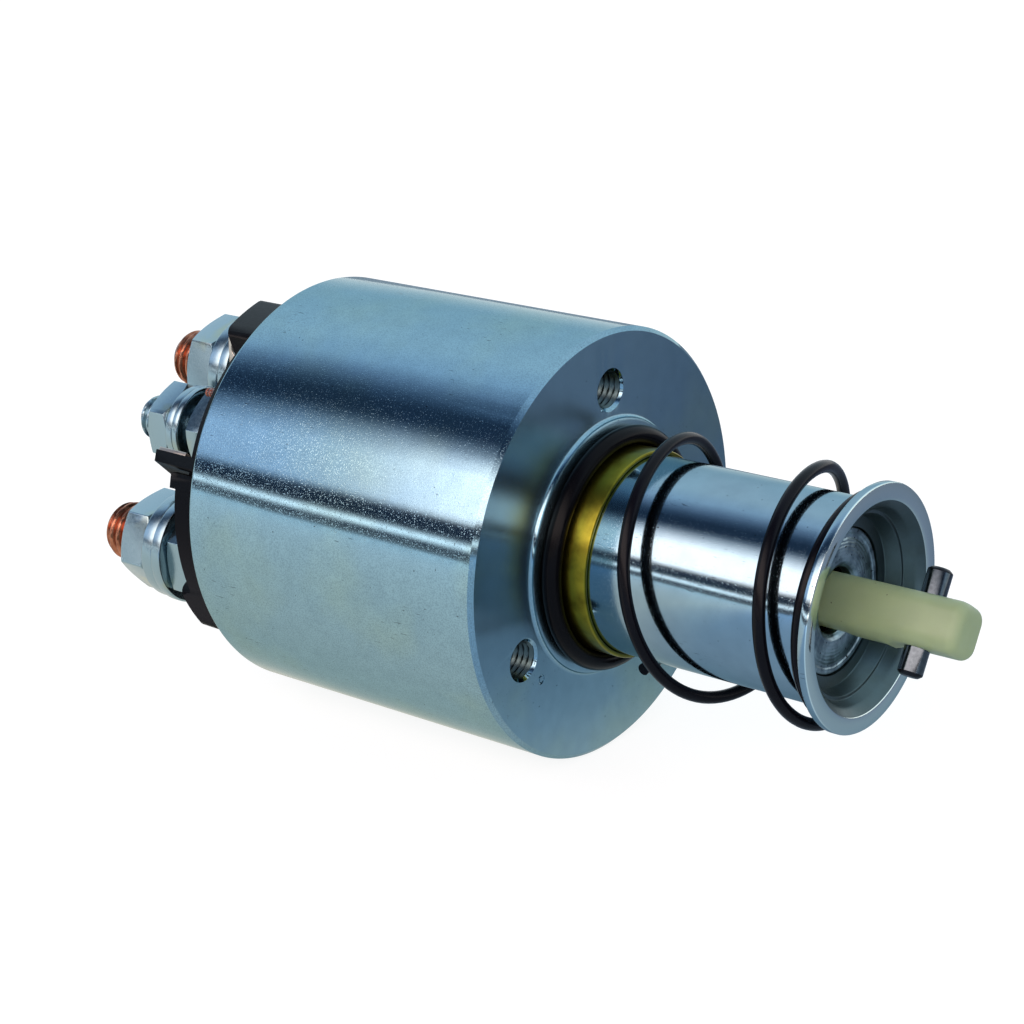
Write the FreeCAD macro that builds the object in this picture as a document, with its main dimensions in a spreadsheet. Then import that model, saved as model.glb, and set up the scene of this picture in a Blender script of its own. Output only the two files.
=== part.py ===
"""Starter solenoid, closed steel can with a pull-in plunger, in millimetres.

Origin at the centre of the front mounting face, +X out along the plunger, +Z up.
Depths are measured back from the front face, reaches are measured forward from it.
"""
import FreeCAD
import Part
import Sketcher
import math
import os
import re
from FreeCAD import Placement, Rotation, Vector

# Driving dimensions: alias, value, meaning
SIZES = [
    ("housing_radius", 27.5, "outside of the can"),
    ("housing_length", 46.0, "front face to rear edge"),
    ("front_wall", 7.5, "thickness of the front pole"),
    ("can_wall", 2.9, "wall round the windings"),
    ("rear_room", 11.5, "shoulder that stops the rear pole, from the rear edge"),
    ("crimp_wall", 0.8, "thin rear wall round the pole and the cap"),
    ("crimp_lip", 0.9, "thickness of the lip rolled over the cap"),
    ("crimp_reach", 0.65, "how far the lip turns inwards"),
    ("front_edge", 0.8, "chamfer round the front face"),
    ("rear_edge", 0.5, "rounding of the rolled rear edge"),
    ("boss_radius", 16.2, "low boss round the plunger"),
    ("boss_height", 0.6, "height of that boss"),
    ("boss_fillet", 0.5, "fillet at the foot of the boss"),
    ("boss_edge", 0.24, "rounding of its rim"),
    ("mount_circle", 20.0, "radius of the circle of tapped holes"),
    ("mount_count", 3, "number of tapped holes"),
    ("tap_diameter", 4.2, "bore of an M5 thread"),
    ("tap_depth", 6.2, "depth of a tapped hole"),
    ("sink_diameter", 5.5, "countersink at its mouth"),
    ("press_gap", 0.03, "radial gap of parts pressed together"),
    ("seat_gap", 0.05, "axial gap between stacked parts"),
    ("running_gap", 0.05, "radial gap of sliding parts"),
    ("sleeve_bore", 12.55, "bore of the brass guide sleeve"),
    ("sleeve_wall", 0.55, "wall of the sleeve"),
    ("sleeve_reach", 5.85, "sleeve stands out of the face"),
    ("sleeve_end", 1.5, "inner end of the sleeve in front of the rear pole"),
    ("seal_section", 2.4, "wire of the front seal ring"),
    ("plunger_reach", 37.5, "rim of the plunger in front of the face"),
    ("plunger_tail", 10.0, "depth of the plunger's inner end"),
    ("tail_edge", 1.2, "chamfer at the inner end"),
    ("flange_radius", 15.0, "spring flange"),
    ("flange_rim", 1.2, "thickness of the flange"),
    ("flange_edge", 0.25, "broken edge of the flange"),
    ("coil_groove", 2.3, "width of the groove for the end coil"),
    ("groove_depth", 0.2, "depth of that groove"),
    ("mouth_radius", 12.9, "recess in the plunger's face at its mouth"),
    ("throat_radius", 11.7, "recess behind the flared mouth"),
    ("throat_depth", 1.0, "depth of that flare"),
    ("step_depth", 2.3, "depth of the first step"),
    ("step_radius", 11.4, "recess at the first step"),
    ("ledge_radius", 10.9, "inner edge of the first step"),
    ("stake_radius", 10.5, "recess at the staked ring"),
    ("stake_depth", 4.3, "depth of the staked ring"),
    ("retainer_radius", 8.9, "disc that closes the plunger"),
    ("retainer_depth", 4.5, "its face below the rim"),
    ("retainer_wall", 1.7, "its thickness"),
    ("retainer_bore", 4.1, "hole for the link"),
    ("retainer_sink", 0.5, "chamfer of that hole"),
    ("link_bore", 7.8, "radius of the space for link and spring"),
    ("link_seat", 7.0, "reach of the bottom of that space"),
    ("stroke", 14.0, "travel of the plunger"),
    ("link_reach", 50.0, "tip of the link in front of the face"),
    ("link_thick", 6.3, "link across the flats that the pin joins"),
    ("link_wide", 6.6, "link the other way"),
    ("link_round", 1.8, "its long edges"),
    ("link_tip", 0.7, "chamfer at its tip"),
    ("collar_radius", 7.4, "spring collar of the link"),
    ("collar_thick", 2.0, "thickness of the collar"),
    ("pin_radius", 1.5, "cross pin"),
    ("pin_length", 13.0, "length of the cross pin"),
    ("pin_inset", 5.7, "its axis behind the tip of the link"),
    ("pin_lean", 30.0, "its lean from upright, in degrees"),
    ("pin_edge", 0.35, "chamfer at its ends"),
    ("link_wire", 1.5, "wire of the spring round the link"),
    ("link_turns", 6, "its turns"),
    ("link_wire_gap", 1.2, "that spring within its bore"),
    ("return_wire", 1.75, "wire of the return spring"),
    ("return_radius", 15.15, "mean radius of its open coils"),
    ("return_reach", 5.6, "reach of its free end"),
    ("bobbin_wall", 0.9, "tube of the bobbin"),
    ("bobbin_flange", 1.3, "its end flanges"),
    ("bobbin_gap", 0.3, "play of the bobbin"),
    ("pull_in_thick", 4.4, "thickness of the pull-in winding"),
    ("hold_in_play", 1.2, "outside of the hold-in winding within the can"),
    ("winding_gap", 0.1, "play between windings and bobbin"),
    ("core_gap", 0.4, "fixed core behind the plunger at the end of its stroke"),
    ("core_edge", 1.0, "chamfer of that face"),
    ("pole_thick", 3.5, "rear pole plate"),
    ("pole_pocket", 6.8, "radius of the spring pocket in the plate"),
    ("pocket_depth", 4.2, "depth of that pocket"),
    ("rod_radius", 2.9, "contact rod in the core"),
    ("rod_play", 0.1, "plunger from the rod where it starts to push it"),
    ("rod_tail", 0.65, "its rear end beyond the clip"),
    ("rod_neck", 2.0, "its radius behind the collar"),
    ("rod_edge", 0.4, "chamfer of its front end"),
    ("rod_collar", 4.4, "its spring collar"),
    ("rod_collar_thick", 1.2, "thickness of that collar"),
    ("contact_travel", 3.0, "travel of the rod"),
    ("contact_wire", 0.8, "wire of the contact spring"),
    ("contact_turns", 2.5, "its turns"),
    ("disc_radius", 15.5, "moving contact disc"),
    ("disc_thick", 1.8, "its thickness"),
    ("disc_bore", 3.6, "its hole"),
    ("disc_gap", 2.3, "gap to the fixed contacts"),
    ("bush_wall", 1.15, "flanges of the insulating bushes"),
    ("bush_radius", 5.4, "outside of the bushes"),
    ("clip_radius", 3.6, "clip on the rod"),
    ("clip_thick", 0.8, "its thickness"),
    ("contact_return_wire", 0.6, "wire of the small return spring"),
    ("contact_return_turns", 2.2, "its turns"),
    ("cap_seal_thick", 0.8, "seal under the cap"),
    ("cap_side", 2.1, "wall of the cap within the rear wall of the can"),
    ("rim_gap", 0.15, "cap within the rolled lip"),
    ("cap_bulge", 1.0, "inner face of the end wall behind the can"),
    ("cap_wall", 2.0, "thickness of the end wall"),
    ("rim_drop", 1.7, "step round the end wall, below its face"),
    ("guard_height", 1.0, "guard wall beside the battery stud, above that face"),
    ("guard_from", 166.5, "where the guard wall starts, angle from +Y"),
    ("guard_step", 1.0, "raised start of the guard wall"),
    ("guard_step_span", 4.5, "arc of that raised start, in degrees"),
    ("rim_wall", 1.2, "width of the step, thickness of the guard wall"),
    ("hub_radius", 6.5, "middle boss of the cap"),
    ("hub_height", 1.6, "height of the boss"),
    ("hub_edge", 0.6, "bevel of the boss"),
    ("hub_pocket", 4.6, "pocket inside the boss"),
    ("hub_pocket_depth", 2.4, "depth of that pocket"),
    ("pad_radius", 7.4, "pad under a main stud"),
    ("motor_lobe", 112.0, "lobe from its pad to the rim, angle from +Y"),
    ("battery_lobe", 213.0, "lobe from its pad to the rim, angle from +Y"),
    ("lobe_wide", 7.8, "width of these lobes"),
    ("control_pad_radius", 5.6, "pad under the control stud"),
    ("rib_thick", 1.4, "barrier rib between two studs"),
    ("rib_height", 5.2, "height of the rib"),
    ("rib_turn", 42.0, "its slope down from +Y, in degrees"),
    ("rib_offset", 10.15, "its upper face below the middle, square to it"),
    ("rib_outer", 24.4, "its outer end along its own length"),
    ("rib_inner", 15.6, "its inner end along its own length"),
    ("head_radius", 6.1, "head of a main stud"),
    ("head_thick", 2.5, "its thickness"),
    ("main_stud", 4.0, "radius of an M8 stud"),
    ("main_flats", 12.0, "its nuts across the flats"),
    ("main_nut", 5.0, "thickness of its nuts"),
    ("main_washer", 7.4, "radius of its flat washer"),
    ("main_washer_thick", 1.6, "thickness of that washer"),
    ("main_spring", 7.2, "radius of its spring washer"),
    ("main_spring_thick", 2.0, "thickness of that washer"),
    ("main_free", 6.3, "thread beyond the upper nut"),
    ("motor_circle", 12.95, "motor stud from the middle"),
    ("motor_angle", 92.0, "its angle from +Y"),
    ("battery_circle", 17.2, "battery stud from the middle"),
    ("battery_angle", 209.4, "its angle from +Y"),
    ("main_pad_height", 3.0, "height of the pads of both main studs"),
    ("control_stud", 3.0, "radius of the M6 control stud"),
    ("control_circle", 16.15, "control stud from the middle"),
    ("control_angle", 148.7, "its angle from +Y"),
    ("control_pad_height", 1.1, "height of its pad"),
    ("control_flats", 10.0, "its nuts across the flats"),
    ("control_nut", 3.6, "thickness of its nuts"),
    ("control_washer", 5.6, "radius of its flat washer"),
    ("control_washer_thick", 1.0, "thickness of that washer"),
    ("control_spring", 5.5, "radius of its spring washer"),
    ("control_spring_thick", 1.2, "thickness of that washer"),
    ("control_free", 4.4, "thread beyond the upper nut"),
    ("control_slack", 1.2, "upper nut left this far off the lower one"),
    ("control_head", 4.6, "radius of its inner head"),
    ("control_head_thick", 1.5, "thickness of that head"),
    ("strap_thick", 0.8, "terminal straps"),
    ("arm_wide", 4.6, "arm of the motor strap, from its upper edge to the stud"),
    ("arm_drop", 1.15, "lower edge of that arm below the stud"),
    ("tab_wide", 4.1, "its upright tab"),
    ("tab_across", 7.0, "inner face of the tab from the middle, along -Y"),
    ("tab_up", 18.05, "middle of the tab above the middle"),
    ("tab_height", 4.2, "height of the tab above its strap"),
    ("tab_hole", 1.1, "radius of its hole"),
    ("tab_hole_height", 2.6, "middle of that hole above the strap"),
    ("flange_height", 4.0, "upright edge of the control strap"),
    ("flange_length", 7.6, "length of that edge"),
    ("flange_inset", 1.6, "its outer end inside that of the rib"),
    ("bridge_wide", 4.6, "bridge from that edge to the eye"),
    ("bridge_end", 3.4, "upper end of the bridge, below the middle along the rib"),
    ("lead_radius", 0.6, "winding leads"),
    ("lead_inset", 1.1, "leads within the wall of the contact chamber"),
    ("lead_hole", 0.9, "holes they pass through"),
    ("motor_lead_angle", 112.0, "angle of the pull-in lead from +Y"),
    ("control_lead_angle", 140.0, "angle of the hold-in lead from +Y"),
    ("lead_bared", 1.2, "pull-in lead beyond the strap"),
    ("motor_upper_turn", 20.0, "corner of its upper nut from +Y, in degrees"),
    ("motor_lower_turn", 54.0, "corner of its lower nut"),
    ("battery_upper_turn", 14.0, "corner of its upper nut from +Y, in degrees"),
    ("battery_lower_turn", 36.0, "corner of its lower nut"),
    ("control_upper_turn", 33.0, "corner of its upper nut from +Y, in degrees"),
    ("control_lower_turn", 46.0, "corner of its lower nut"),
    ("stud_gap", 0.15, "play of nuts and washers on their thread"),
    ("split_angle", 350.0, "arc of a spring washer, in degrees"),
    ("main_dome", 2.6, "rounding of the main studs' tips"),
    ("control_dome", 1.8, "rounding of the control stud's tip"),
    ("nut_bevel", 0.55, "depth of the bevel on nut corners"),
    ("nut_inset", 0.18, "face of a nut within its flats"),
]

doc = FreeCAD.newDocument("starter_solenoid")
sheet = doc.addObject("Spreadsheet::Sheet", "Sizes")
for row, (alias, value, meaning) in enumerate(SIZES, start=1):
    sheet.set(f"A{row}", meaning)
    sheet.set(f"B{row}", str(value))
    sheet.setAlias(f"B{row}", alias)
doc.recompute()
ALIASES = {alias for alias, value, meaning in SIZES}

# Sizes that follow from the driving ones
FOLLOWING = {
    "plunger_radius": "sleeve_bore - running_gap",
    "sleeve_radius": "sleeve_bore + sleeve_wall",
    "sleeve_seat": "sleeve_radius + press_gap",
    "can_bore": "housing_radius - can_wall",
    "crimp_bore": "housing_radius - crimp_wall",
    "lip_depth": "housing_length - crimp_lip",
    "lip_radius": "crimp_bore - crimp_reach",
    "crimped_radius": "crimp_bore - press_gap - seat_gap",
    "pole_seat": "housing_length - rear_room",
    "pole_back": "pole_seat + pole_thick",
    "sleeve_tail": "pole_seat - sleeve_end",
    "core_depth": "plunger_tail + stroke + core_gap",
    "retainer_face": "plunger_reach - retainer_depth",
    "retainer_back": "retainer_face - retainer_wall",
    "bobbin_front": "front_wall + bobbin_gap",
    "bobbin_back": "pole_seat - bobbin_gap",
    "bobbin_inner": "sleeve_radius + winding_gap",
    "winding_inner": "bobbin_inner + bobbin_wall + winding_gap",
    "pull_in_radius": "winding_inner + pull_in_thick",
    "hold_in_radius": "can_bore - hold_in_play",
    "pin_reach": "link_reach - pin_inset",
    "cap_floor": "housing_length + cap_bulge",
    "cap_face": "cap_floor + cap_wall",
    "cap_rim": "lip_radius - rim_gap",
    "cap_bore": "crimp_bore - cap_side",
    "cap_front": "seal_back + seat_gap",
    "seal_back": "pole_back + cap_seal_thick",
    "rim_depth": "cap_face - rim_drop",
    "guard_depth": "cap_face + guard_height",
    "hub_depth": "cap_face + hub_height",
    "rib_depth": "cap_face + rib_height",
    "main_pad": "cap_face + main_pad_height",
    "control_pad": "cap_face + control_pad_height",
    "lead_circle": "cap_bore - lead_inset",
    "pocket_floor": "cap_floor + hub_pocket_depth",
    "contact_face": "cap_floor - head_thick",
    "disc_back": "contact_face - disc_gap",
    "disc_front": "disc_back - disc_thick",
    "bush_front": "disc_front - bush_wall",
    "bush_back": "disc_back + bush_wall + seat_gap",
    "clip_front": "bush_back + seat_gap",
    "clip_back": "clip_front + clip_thick",
    "rod_depth": "plunger_tail + stroke - contact_travel + rod_play",
    "collar_front": "pole_back - pocket_depth + seat_gap",
    "collar_back": "collar_front + rod_collar_thick",
    "rod_end": "clip_back + rod_tail",
    "coil_seat": "link_seat + seat_gap + collar_thick",
    "through_all": "housing_length * 3",
}
DRAFT = 10.0  # outlines are drawn this large before their sizes hold them
NEAR = 1e-4
parts = []


def size(alias):
    return float(sheet.get(alias))


def bound(text):
    """Expression text with each size looked up in the sheet."""
    def look_up(match):
        word = match.group()
        if word in FOLLOWING:
            return f"({bound(FOLLOWING[word])})"
        return f"Sizes.{word}" if word in ALIASES else word
    return re.sub(r"[a-z_]+", look_up, text)


def new_body(label):
    body = doc.addObject("PartDesign::Body", label)
    body.Label = label
    parts.append(body)
    return body


def origin_plane(body, role):
    return next(item for item in body.Origin.OriginFeatures if item.Role == role)


def new_sketch(body, role, depth=None, turn=None, about=Vector(0, 0, 1)):
    """Sketch on one of the body's own planes, moved back by a depth and turned."""
    sketch = body.newObject("Sketcher::SketchObject", body.Label + "_sketch")
    sketch.AttachmentSupport = (origin_plane(body, role), [""])
    sketch.MapMode = "FlatFace"
    if turn:
        sketch.AttachmentOffset = Placement(Vector(0, 0, 0), Rotation(about, 1.0))
        sketch.setExpression("AttachmentOffset.Rotation.Angle", bound(turn))
    if depth:
        sketch.setExpression("AttachmentOffset.Base.z", bound(f"-({depth})"))
    return sketch


def hold(sketch, kind, point, text):
    """Fix one coordinate of a point: a leading minus puts it on the negative side."""
    axis = -2 if kind == "DistanceX" else -1
    if text == "0":
        sketch.addConstraint(Sketcher.Constraint("PointOnObject", *point, axis))
        return
    ends = (*point, -1, 1) if text.startswith("-") else (-1, 1, *point)
    index = sketch.addConstraint(Sketcher.Constraint(kind, *ends, DRAFT))
    sketch.setExpression(f"Constraints[{index}]", bound(text.lstrip("-")))


def closed_outline(sketch, corners):
    """Straight-sided closed outline through corners given as expressions."""
    count = len(corners)
    around = [
        Rotation(Vector(0, 0, 1), 360 * k / count).multVec(Vector(DRAFT, 0, 0))
        for k in range(count)
    ]
    lines = [
        sketch.addGeometry(Part.LineSegment(around[k], around[(k + 1) % count]), False)
        for k in range(count)
    ]
    for k in range(count):
        sketch.addConstraint(
            Sketcher.Constraint("Coincident", lines[k], 2, lines[(k + 1) % count], 1)
        )
    for line, (across, up) in zip(lines, corners):
        hold(sketch, "DistanceX", (line, 1), across)
        hold(sketch, "DistanceY", (line, 1), up)


def circle_at(sketch, across, up, radius):
    draft = Part.Circle(Vector(DRAFT, DRAFT, 0), Vector(0, 0, 1), DRAFT / 2)
    ring = sketch.addGeometry(draft, False)
    hold(sketch, "DistanceX", (ring, 3), across)
    hold(sketch, "DistanceY", (ring, 3), up)
    index = sketch.addConstraint(Sketcher.Constraint("Radius", ring, DRAFT / 2))
    sketch.setExpression(f"Constraints[{index}]", bound(radius))


def revolve(body, outlines, cut=False, start=None, span=None):
    """Turn outlines of (along X, radius) about the X axis, all round or over a span."""
    sketch = new_sketch(body, "XY_Plane", None, start, Vector(1, 0, 0))
    for outline in outlines:
        closed_outline(sketch, outline)
    kind = "PartDesign::Groove" if cut else "PartDesign::Revolution"
    turned = body.newObject(kind, body.Label + "_turned")
    turned.Profile = sketch
    turned.ReferenceAxis = (sketch, ["H_Axis"])
    turned.Angle = 360
    if span:
        turned.setExpression("Angle", bound(span))
    return turned


def turned_part(label, *outlines):
    body = new_body(label)
    revolve(body, outlines)
    return body


def rectangle(near, far, inner, outer):
    """Outline of a plain ring between two stations and two radii."""
    return [(near, inner), (far, inner), (far, outer), (near, outer)]


def pad(body, sketch, length, cut=False, backwards=True):
    kind = "PartDesign::Pocket" if cut else "PartDesign::Pad"
    feature = body.newObject(kind, body.Label + "_pad")
    feature.Profile = sketch
    feature.setExpression("Length", bound(length))
    feature.Reversed = backwards != cut
    return feature


def put_on_stud(body, stud):
    """Move a part drawn on the middle axis out to a stud."""
    body.setExpression("Placement.Base.y", bound(f"{stud}_circle * cos({stud}_angle)"))
    body.setExpression("Placement.Base.z", bound(f"{stud}_circle * sin({stud}_angle)"))


def dress(body, kind, edges, dressing_size):
    """Fillet or chamfer on the edges that a test of their middle picks."""
    doc.recompute()
    base = body.Tip
    names = [
        f"Edge{k}" for k, edge in enumerate(base.Shape.Edges, start=1) if edges(edge)
    ]
    feature = body.newObject(f"PartDesign::{kind}", body.Label + "_" + kind.lower())
    feature.Base = (base, names)
    feature.setExpression("Radius" if kind == "Fillet" else "Size", bound(dressing_size))
    return feature


def is_circle(edge, radius, station):
    """True for a circle about the X axis with this radius at this x."""
    curve = edge.Curve
    if not isinstance(curve, Part.Circle):
        return False
    off_axis = math.hypot(curve.Center.y, curve.Center.z)
    return (
        abs(curve.Radius - radius) < NEAR
        and abs(curve.Center.x - station) < NEAR
        and off_axis < NEAR
    )


def coil(label, start, length, mean_radius, wire_radius, turns, behind=False):
    """Compression spring about the X axis, from a first coil at a reach or a depth."""
    body = new_body(label)
    sketch = new_sketch(body, "XY_Plane")
    circle_at(sketch, f"-({start})" if behind else start, mean_radius, wire_radius)
    helix = body.newObject("PartDesign::AdditiveHelix", label + "_helix")
    helix.Profile = sketch
    helix.ReferenceAxis = (sketch, ["H_Axis"])
    helix.Mode = "height-turns-angle"
    helix.setExpression("Height", bound(length))
    helix.setExpression("Turns", bound(turns))
    return body


def housing():
    body = turned_part("housing", [
        ("0", "sleeve_seat"),
        ("boss_height", "sleeve_seat"),
        ("boss_height", "boss_radius"),
        ("0", "boss_radius"),
        ("0", "housing_radius"),
        ("-housing_length", "housing_radius"),
        ("-housing_length", "lip_radius"),
        ("-lip_depth", "lip_radius"),
        ("-lip_depth", "crimp_bore"),
        ("-pole_seat", "crimp_bore"),
        ("-pole_seat", "can_bore"),
        ("-front_wall", "can_bore"),
        ("-front_wall", "sleeve_seat"),
    ])
    radius = size("housing_radius")
    rear = -size("housing_length")
    dress(body, "Chamfer", lambda edge: is_circle(edge, radius, 0), "front_edge")
    dress(body, "Fillet", lambda edge: is_circle(edge, radius, rear), "rear_edge")
    boss = size("boss_radius")
    dress(body, "Fillet", lambda edge: is_circle(edge, boss, 0), "boss_fillet")
    top = size("boss_height")
    dress(body, "Fillet", lambda edge: is_circle(edge, boss, top), "boss_edge")
    doc.recompute()
    sketch = new_sketch(body, "YZ_Plane")
    circle_at(sketch, "0", "mount_circle", "tap_diameter / 2")
    doc.recompute()
    hole = body.newObject("PartDesign::Hole", "tapped_hole")
    hole.Profile = sketch
    hole.DepthType = "Dimension"
    hole.HoleCutType = "Countersink"
    hole.HoleCutCountersinkAngle = 90
    hole.DrillPoint = "Angled"
    hole.setExpression("Diameter", bound("tap_diameter"))
    hole.setExpression("Depth", bound("tap_depth"))
    hole.setExpression("HoleCutDiameter", bound("sink_diameter"))
    doc.recompute()
    pattern = body.newObject("PartDesign::PolarPattern", "tapped_holes")
    pattern.Originals = [hole]
    pattern.Axis = (sketch, ["N_Axis"])
    pattern.Angle = 360
    pattern.setExpression("Occurrences", bound("mount_count"))
    body.Tip = pattern


def guide_sleeve():
    """Brass tube that the plunger runs in, standing out of the front face."""
    turned_part(
        "guide_sleeve",
        rectangle("-sleeve_tail", "sleeve_reach", "sleeve_bore", "sleeve_radius"),
    )


def front_seal():
    """Round rubber ring squeezed against the boss and the sleeve."""
    ring = doc.addObject("Part::Torus", "front_seal")
    ring.Label = "front_seal"
    ring.setExpression("Radius1", bound("sleeve_seat + seal_section / 2"))
    ring.setExpression("Radius2", bound("seal_section / 2"))
    ring.Placement = Placement(Vector(0, 0, 0), Rotation(Vector(0, 1, 0), 90))
    ring.setExpression("Placement.Base.x", bound("boss_height + seat_gap + seal_section / 2"))
    parts.append(ring)


def plunger():
    """Hollow plunger with a spring flange and a stepped recess in its face."""
    groove_front = "(plunger_reach - flange_rim)"
    groove_back = "(plunger_reach - flange_rim - coil_groove)"
    groove_floor = "plunger_radius - groove_depth"
    turned_part("plunger", [
        ("-plunger_tail", "0"),
        ("-plunger_tail", "plunger_radius - tail_edge"),
        ("-(plunger_tail - tail_edge)", "plunger_radius"),
        (groove_back + " - groove_depth", "plunger_radius"),
        (groove_back, groove_floor),
        (groove_front, groove_floor),
        (groove_front, "flange_radius - flange_edge"),
        (groove_front + " + flange_edge", "flange_radius"),
        ("plunger_reach - flange_edge", "flange_radius"),
        ("plunger_reach", "flange_radius - flange_edge"),
        ("plunger_reach", "mouth_radius"),
        ("plunger_reach - throat_depth", "throat_radius"),
        ("plunger_reach - step_depth", "step_radius"),
        ("plunger_reach - step_depth", "ledge_radius"),
        ("plunger_reach - stake_depth", "stake_radius"),
        ("plunger_reach - stake_depth", "retainer_radius + press_gap"),
        ("retainer_back - seat_gap", "retainer_radius + press_gap"),
        ("retainer_back - seat_gap", "link_bore"),
        ("link_seat", "link_bore"),
        ("link_seat", "0"),
    ])


def retaining_washer():
    """Disc staked into the plunger, which holds the link's spring in."""
    turned_part("retaining_washer", [
        ("retainer_back", "retainer_bore"),
        ("retainer_back", "retainer_radius"),
        ("retainer_face", "retainer_radius"),
        ("retainer_face", "retainer_bore + retainer_sink"),
        ("retainer_face - retainer_sink", "retainer_bore"),
    ])


def lean(body):
    """Turn a part about the X axis, as the cross pin leans."""
    body.Placement = Placement(Vector(0, 0, 0), Rotation(Vector(-1, 0, 0), 1.0))
    body.setExpression("Placement.Rotation.Angle", bound("pin_lean"))


def link():
    """Moulded bar that carries the cross pin, with a spring collar inside the plunger."""
    body = new_body("link")
    bar = new_sketch(body, "YZ_Plane")
    closed_outline(bar, rectangle(
        "-link_wide / 2", "link_wide / 2", "-link_thick / 2", "link_thick / 2",
    ))
    pad(body, bar, "link_reach", backwards=False)
    front = size("link_reach")
    dress(body, "Fillet", lambda edge: NEAR < edge.CenterOfMass.x < front - NEAR, "link_round")
    dress(body, "Chamfer", lambda edge: edge.CenterOfMass.x > front - NEAR, "link_tip")
    behind = new_sketch(body, "YZ_Plane")
    circle_at(behind, "0", "0", "link_bore")
    pad(body, behind, "link_seat + seat_gap", cut=True, backwards=False)
    revolve(body, [rectangle("link_seat + seat_gap", "coil_seat", "0", "collar_radius")])
    across = new_sketch(body, "XY_Plane")
    circle_at(across, "pin_reach", "0", "pin_radius + press_gap")
    hole = pad(body, across, "through_all", cut=True)
    hole.Midplane = True
    lean(body)


def cross_pin():
    """Steel pin through the link, which the shift lever holds at both ends."""
    body = new_body("cross_pin")
    sketch = new_sketch(body, "XZ_Plane")
    closed_outline(sketch, [
        ("0", "-pin_length / 2"),
        ("pin_radius - pin_edge", "-pin_length / 2"),
        ("pin_radius", "-(pin_length / 2 - pin_edge)"),
        ("pin_radius", "pin_length / 2 - pin_edge"),
        ("pin_radius - pin_edge", "pin_length / 2"),
        ("0", "pin_length / 2"),
    ])
    turned = body.newObject("PartDesign::Revolution", "cross_pin_turned")
    turned.Profile = sketch
    turned.ReferenceAxis = (sketch, ["V_Axis"])
    turned.Angle = 360
    lean(body)
    body.setExpression("Placement.Base.x", bound("pin_reach"))


# Open turns of the return spring: turn angle in degrees, share of the open length
OPEN_TURNS = [
    (-90, 0.0), (49, 0.08), (168, 0.235), (250, 0.41), (440, 0.77), (529, 0.86),
    (604, 0.945), (700, 0.985), (780, 1.0), (960, 1.0),
]
CLOSING_START = 560
CLOSING_SPAN = 140
ROUTE_STEP = 24


def station_at(angle, free, tight):
    """Station of the return spring's wire at a turn angle."""
    for (low, near), (high, far) in zip(OPEN_TURNS, OPEN_TURNS[1:]):
        if angle <= high:
            share = near + (far - near) * (angle - low) / (high - low)
            return free + share * (tight - free)
    return tight


def return_spring():
    """Open coil whose last turn closes tight in the groove behind the flange."""
    free = size("return_reach")
    tight = size("plunger_reach") - size("flange_rim")
    tight -= size("return_wire") / 2 + size("running_gap")
    closed_radius = size("sleeve_bore") - size("groove_depth") + size("return_wire") / 2
    points = []
    for angle in range(OPEN_TURNS[0][0], OPEN_TURNS[-1][0] + 1, ROUTE_STEP):
        closing = min(max((angle - CLOSING_START) / CLOSING_SPAN, 0), 1)
        closing = closing * closing * (3 - 2 * closing)
        radius = size("return_radius") + closing * (closed_radius - size("return_radius"))
        turn = math.radians(angle)
        station = station_at(angle, free, tight)
        points.append(Vector(station, radius * math.cos(turn), radius * math.sin(turn)))
    path = Part.BSplineCurve()
    path.interpolate(points)
    spine = Part.Wire([path.toShape()])
    start = path.tangent(path.FirstParameter)[0]
    section = Part.Wire([Part.Circle(points[0], start, size("return_wire") / 2).toShape()])
    wire = doc.addObject("Part::Feature", "return_spring")
    wire.Label = "return_spring"
    wire.Shape = spine.makePipeShell([section], True, True)
    parts.append(wire)


def meshing_spring():
    """Spring round the link, between its collar and the retaining washer."""
    coil(
        "meshing_spring",
        "coil_seat + seat_gap + link_wire / 2",
        "retainer_back - coil_seat - link_wire - seat_gap * 2",
        "link_bore - link_wire / 2 - link_wire_gap",
        "link_wire / 2",
        "link_turns",
    )


def bobbin():
    """Moulded bobbin round the sleeve."""
    near = "-bobbin_front"
    far = "-bobbin_back"
    rim = "can_bore - bobbin_gap"
    tube = "bobbin_inner + bobbin_wall"
    turned_part("bobbin", [
        (near, "bobbin_inner"),
        (near, rim),
        ("-(bobbin_front + bobbin_flange)", rim),
        ("-(bobbin_front + bobbin_flange)", tube),
        ("-(bobbin_back - bobbin_flange)", tube),
        ("-(bobbin_back - bobbin_flange)", rim),
        (far, rim),
        (far, "bobbin_inner"),
    ])


def windings():
    """Pull-in winding with the hold-in winding round it, each as a plain ring."""
    near = "-(bobbin_front + bobbin_flange + winding_gap)"
    far = "-(bobbin_back - bobbin_flange - winding_gap)"
    turned_part("pull_in_winding", rectangle(near, far, "winding_inner", "pull_in_radius"))
    turned_part("hold_in_winding", rectangle(
        near, far, "pull_in_radius + winding_gap", "hold_in_radius",
    ))


def fixed_core():
    """Core and rear pole plate, with a pocket for the contact spring."""
    pocket = "-(pole_back - pocket_depth)"
    bore = "rod_radius + running_gap"
    body = turned_part("fixed_core", [
        ("-core_depth", bore),
        ("-core_depth", "plunger_radius - core_edge"),
        ("-(core_depth + core_edge)", "plunger_radius"),
        ("-bobbin_back", "plunger_radius"),
        ("-bobbin_back", "sleeve_radius"),
        ("-(pole_seat + seat_gap)", "sleeve_radius"),
        ("-(pole_seat + seat_gap)", "crimped_radius"),
        ("-pole_back", "crimped_radius"),
        ("-pole_back", "pole_pocket"),
        (pocket, "pole_pocket"),
        (pocket, bore),
    ])
    drill(body, "lead_circle", "motor_lead_angle", "lead_hole")
    drill(body, "lead_circle", "control_lead_angle", "lead_hole")


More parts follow.
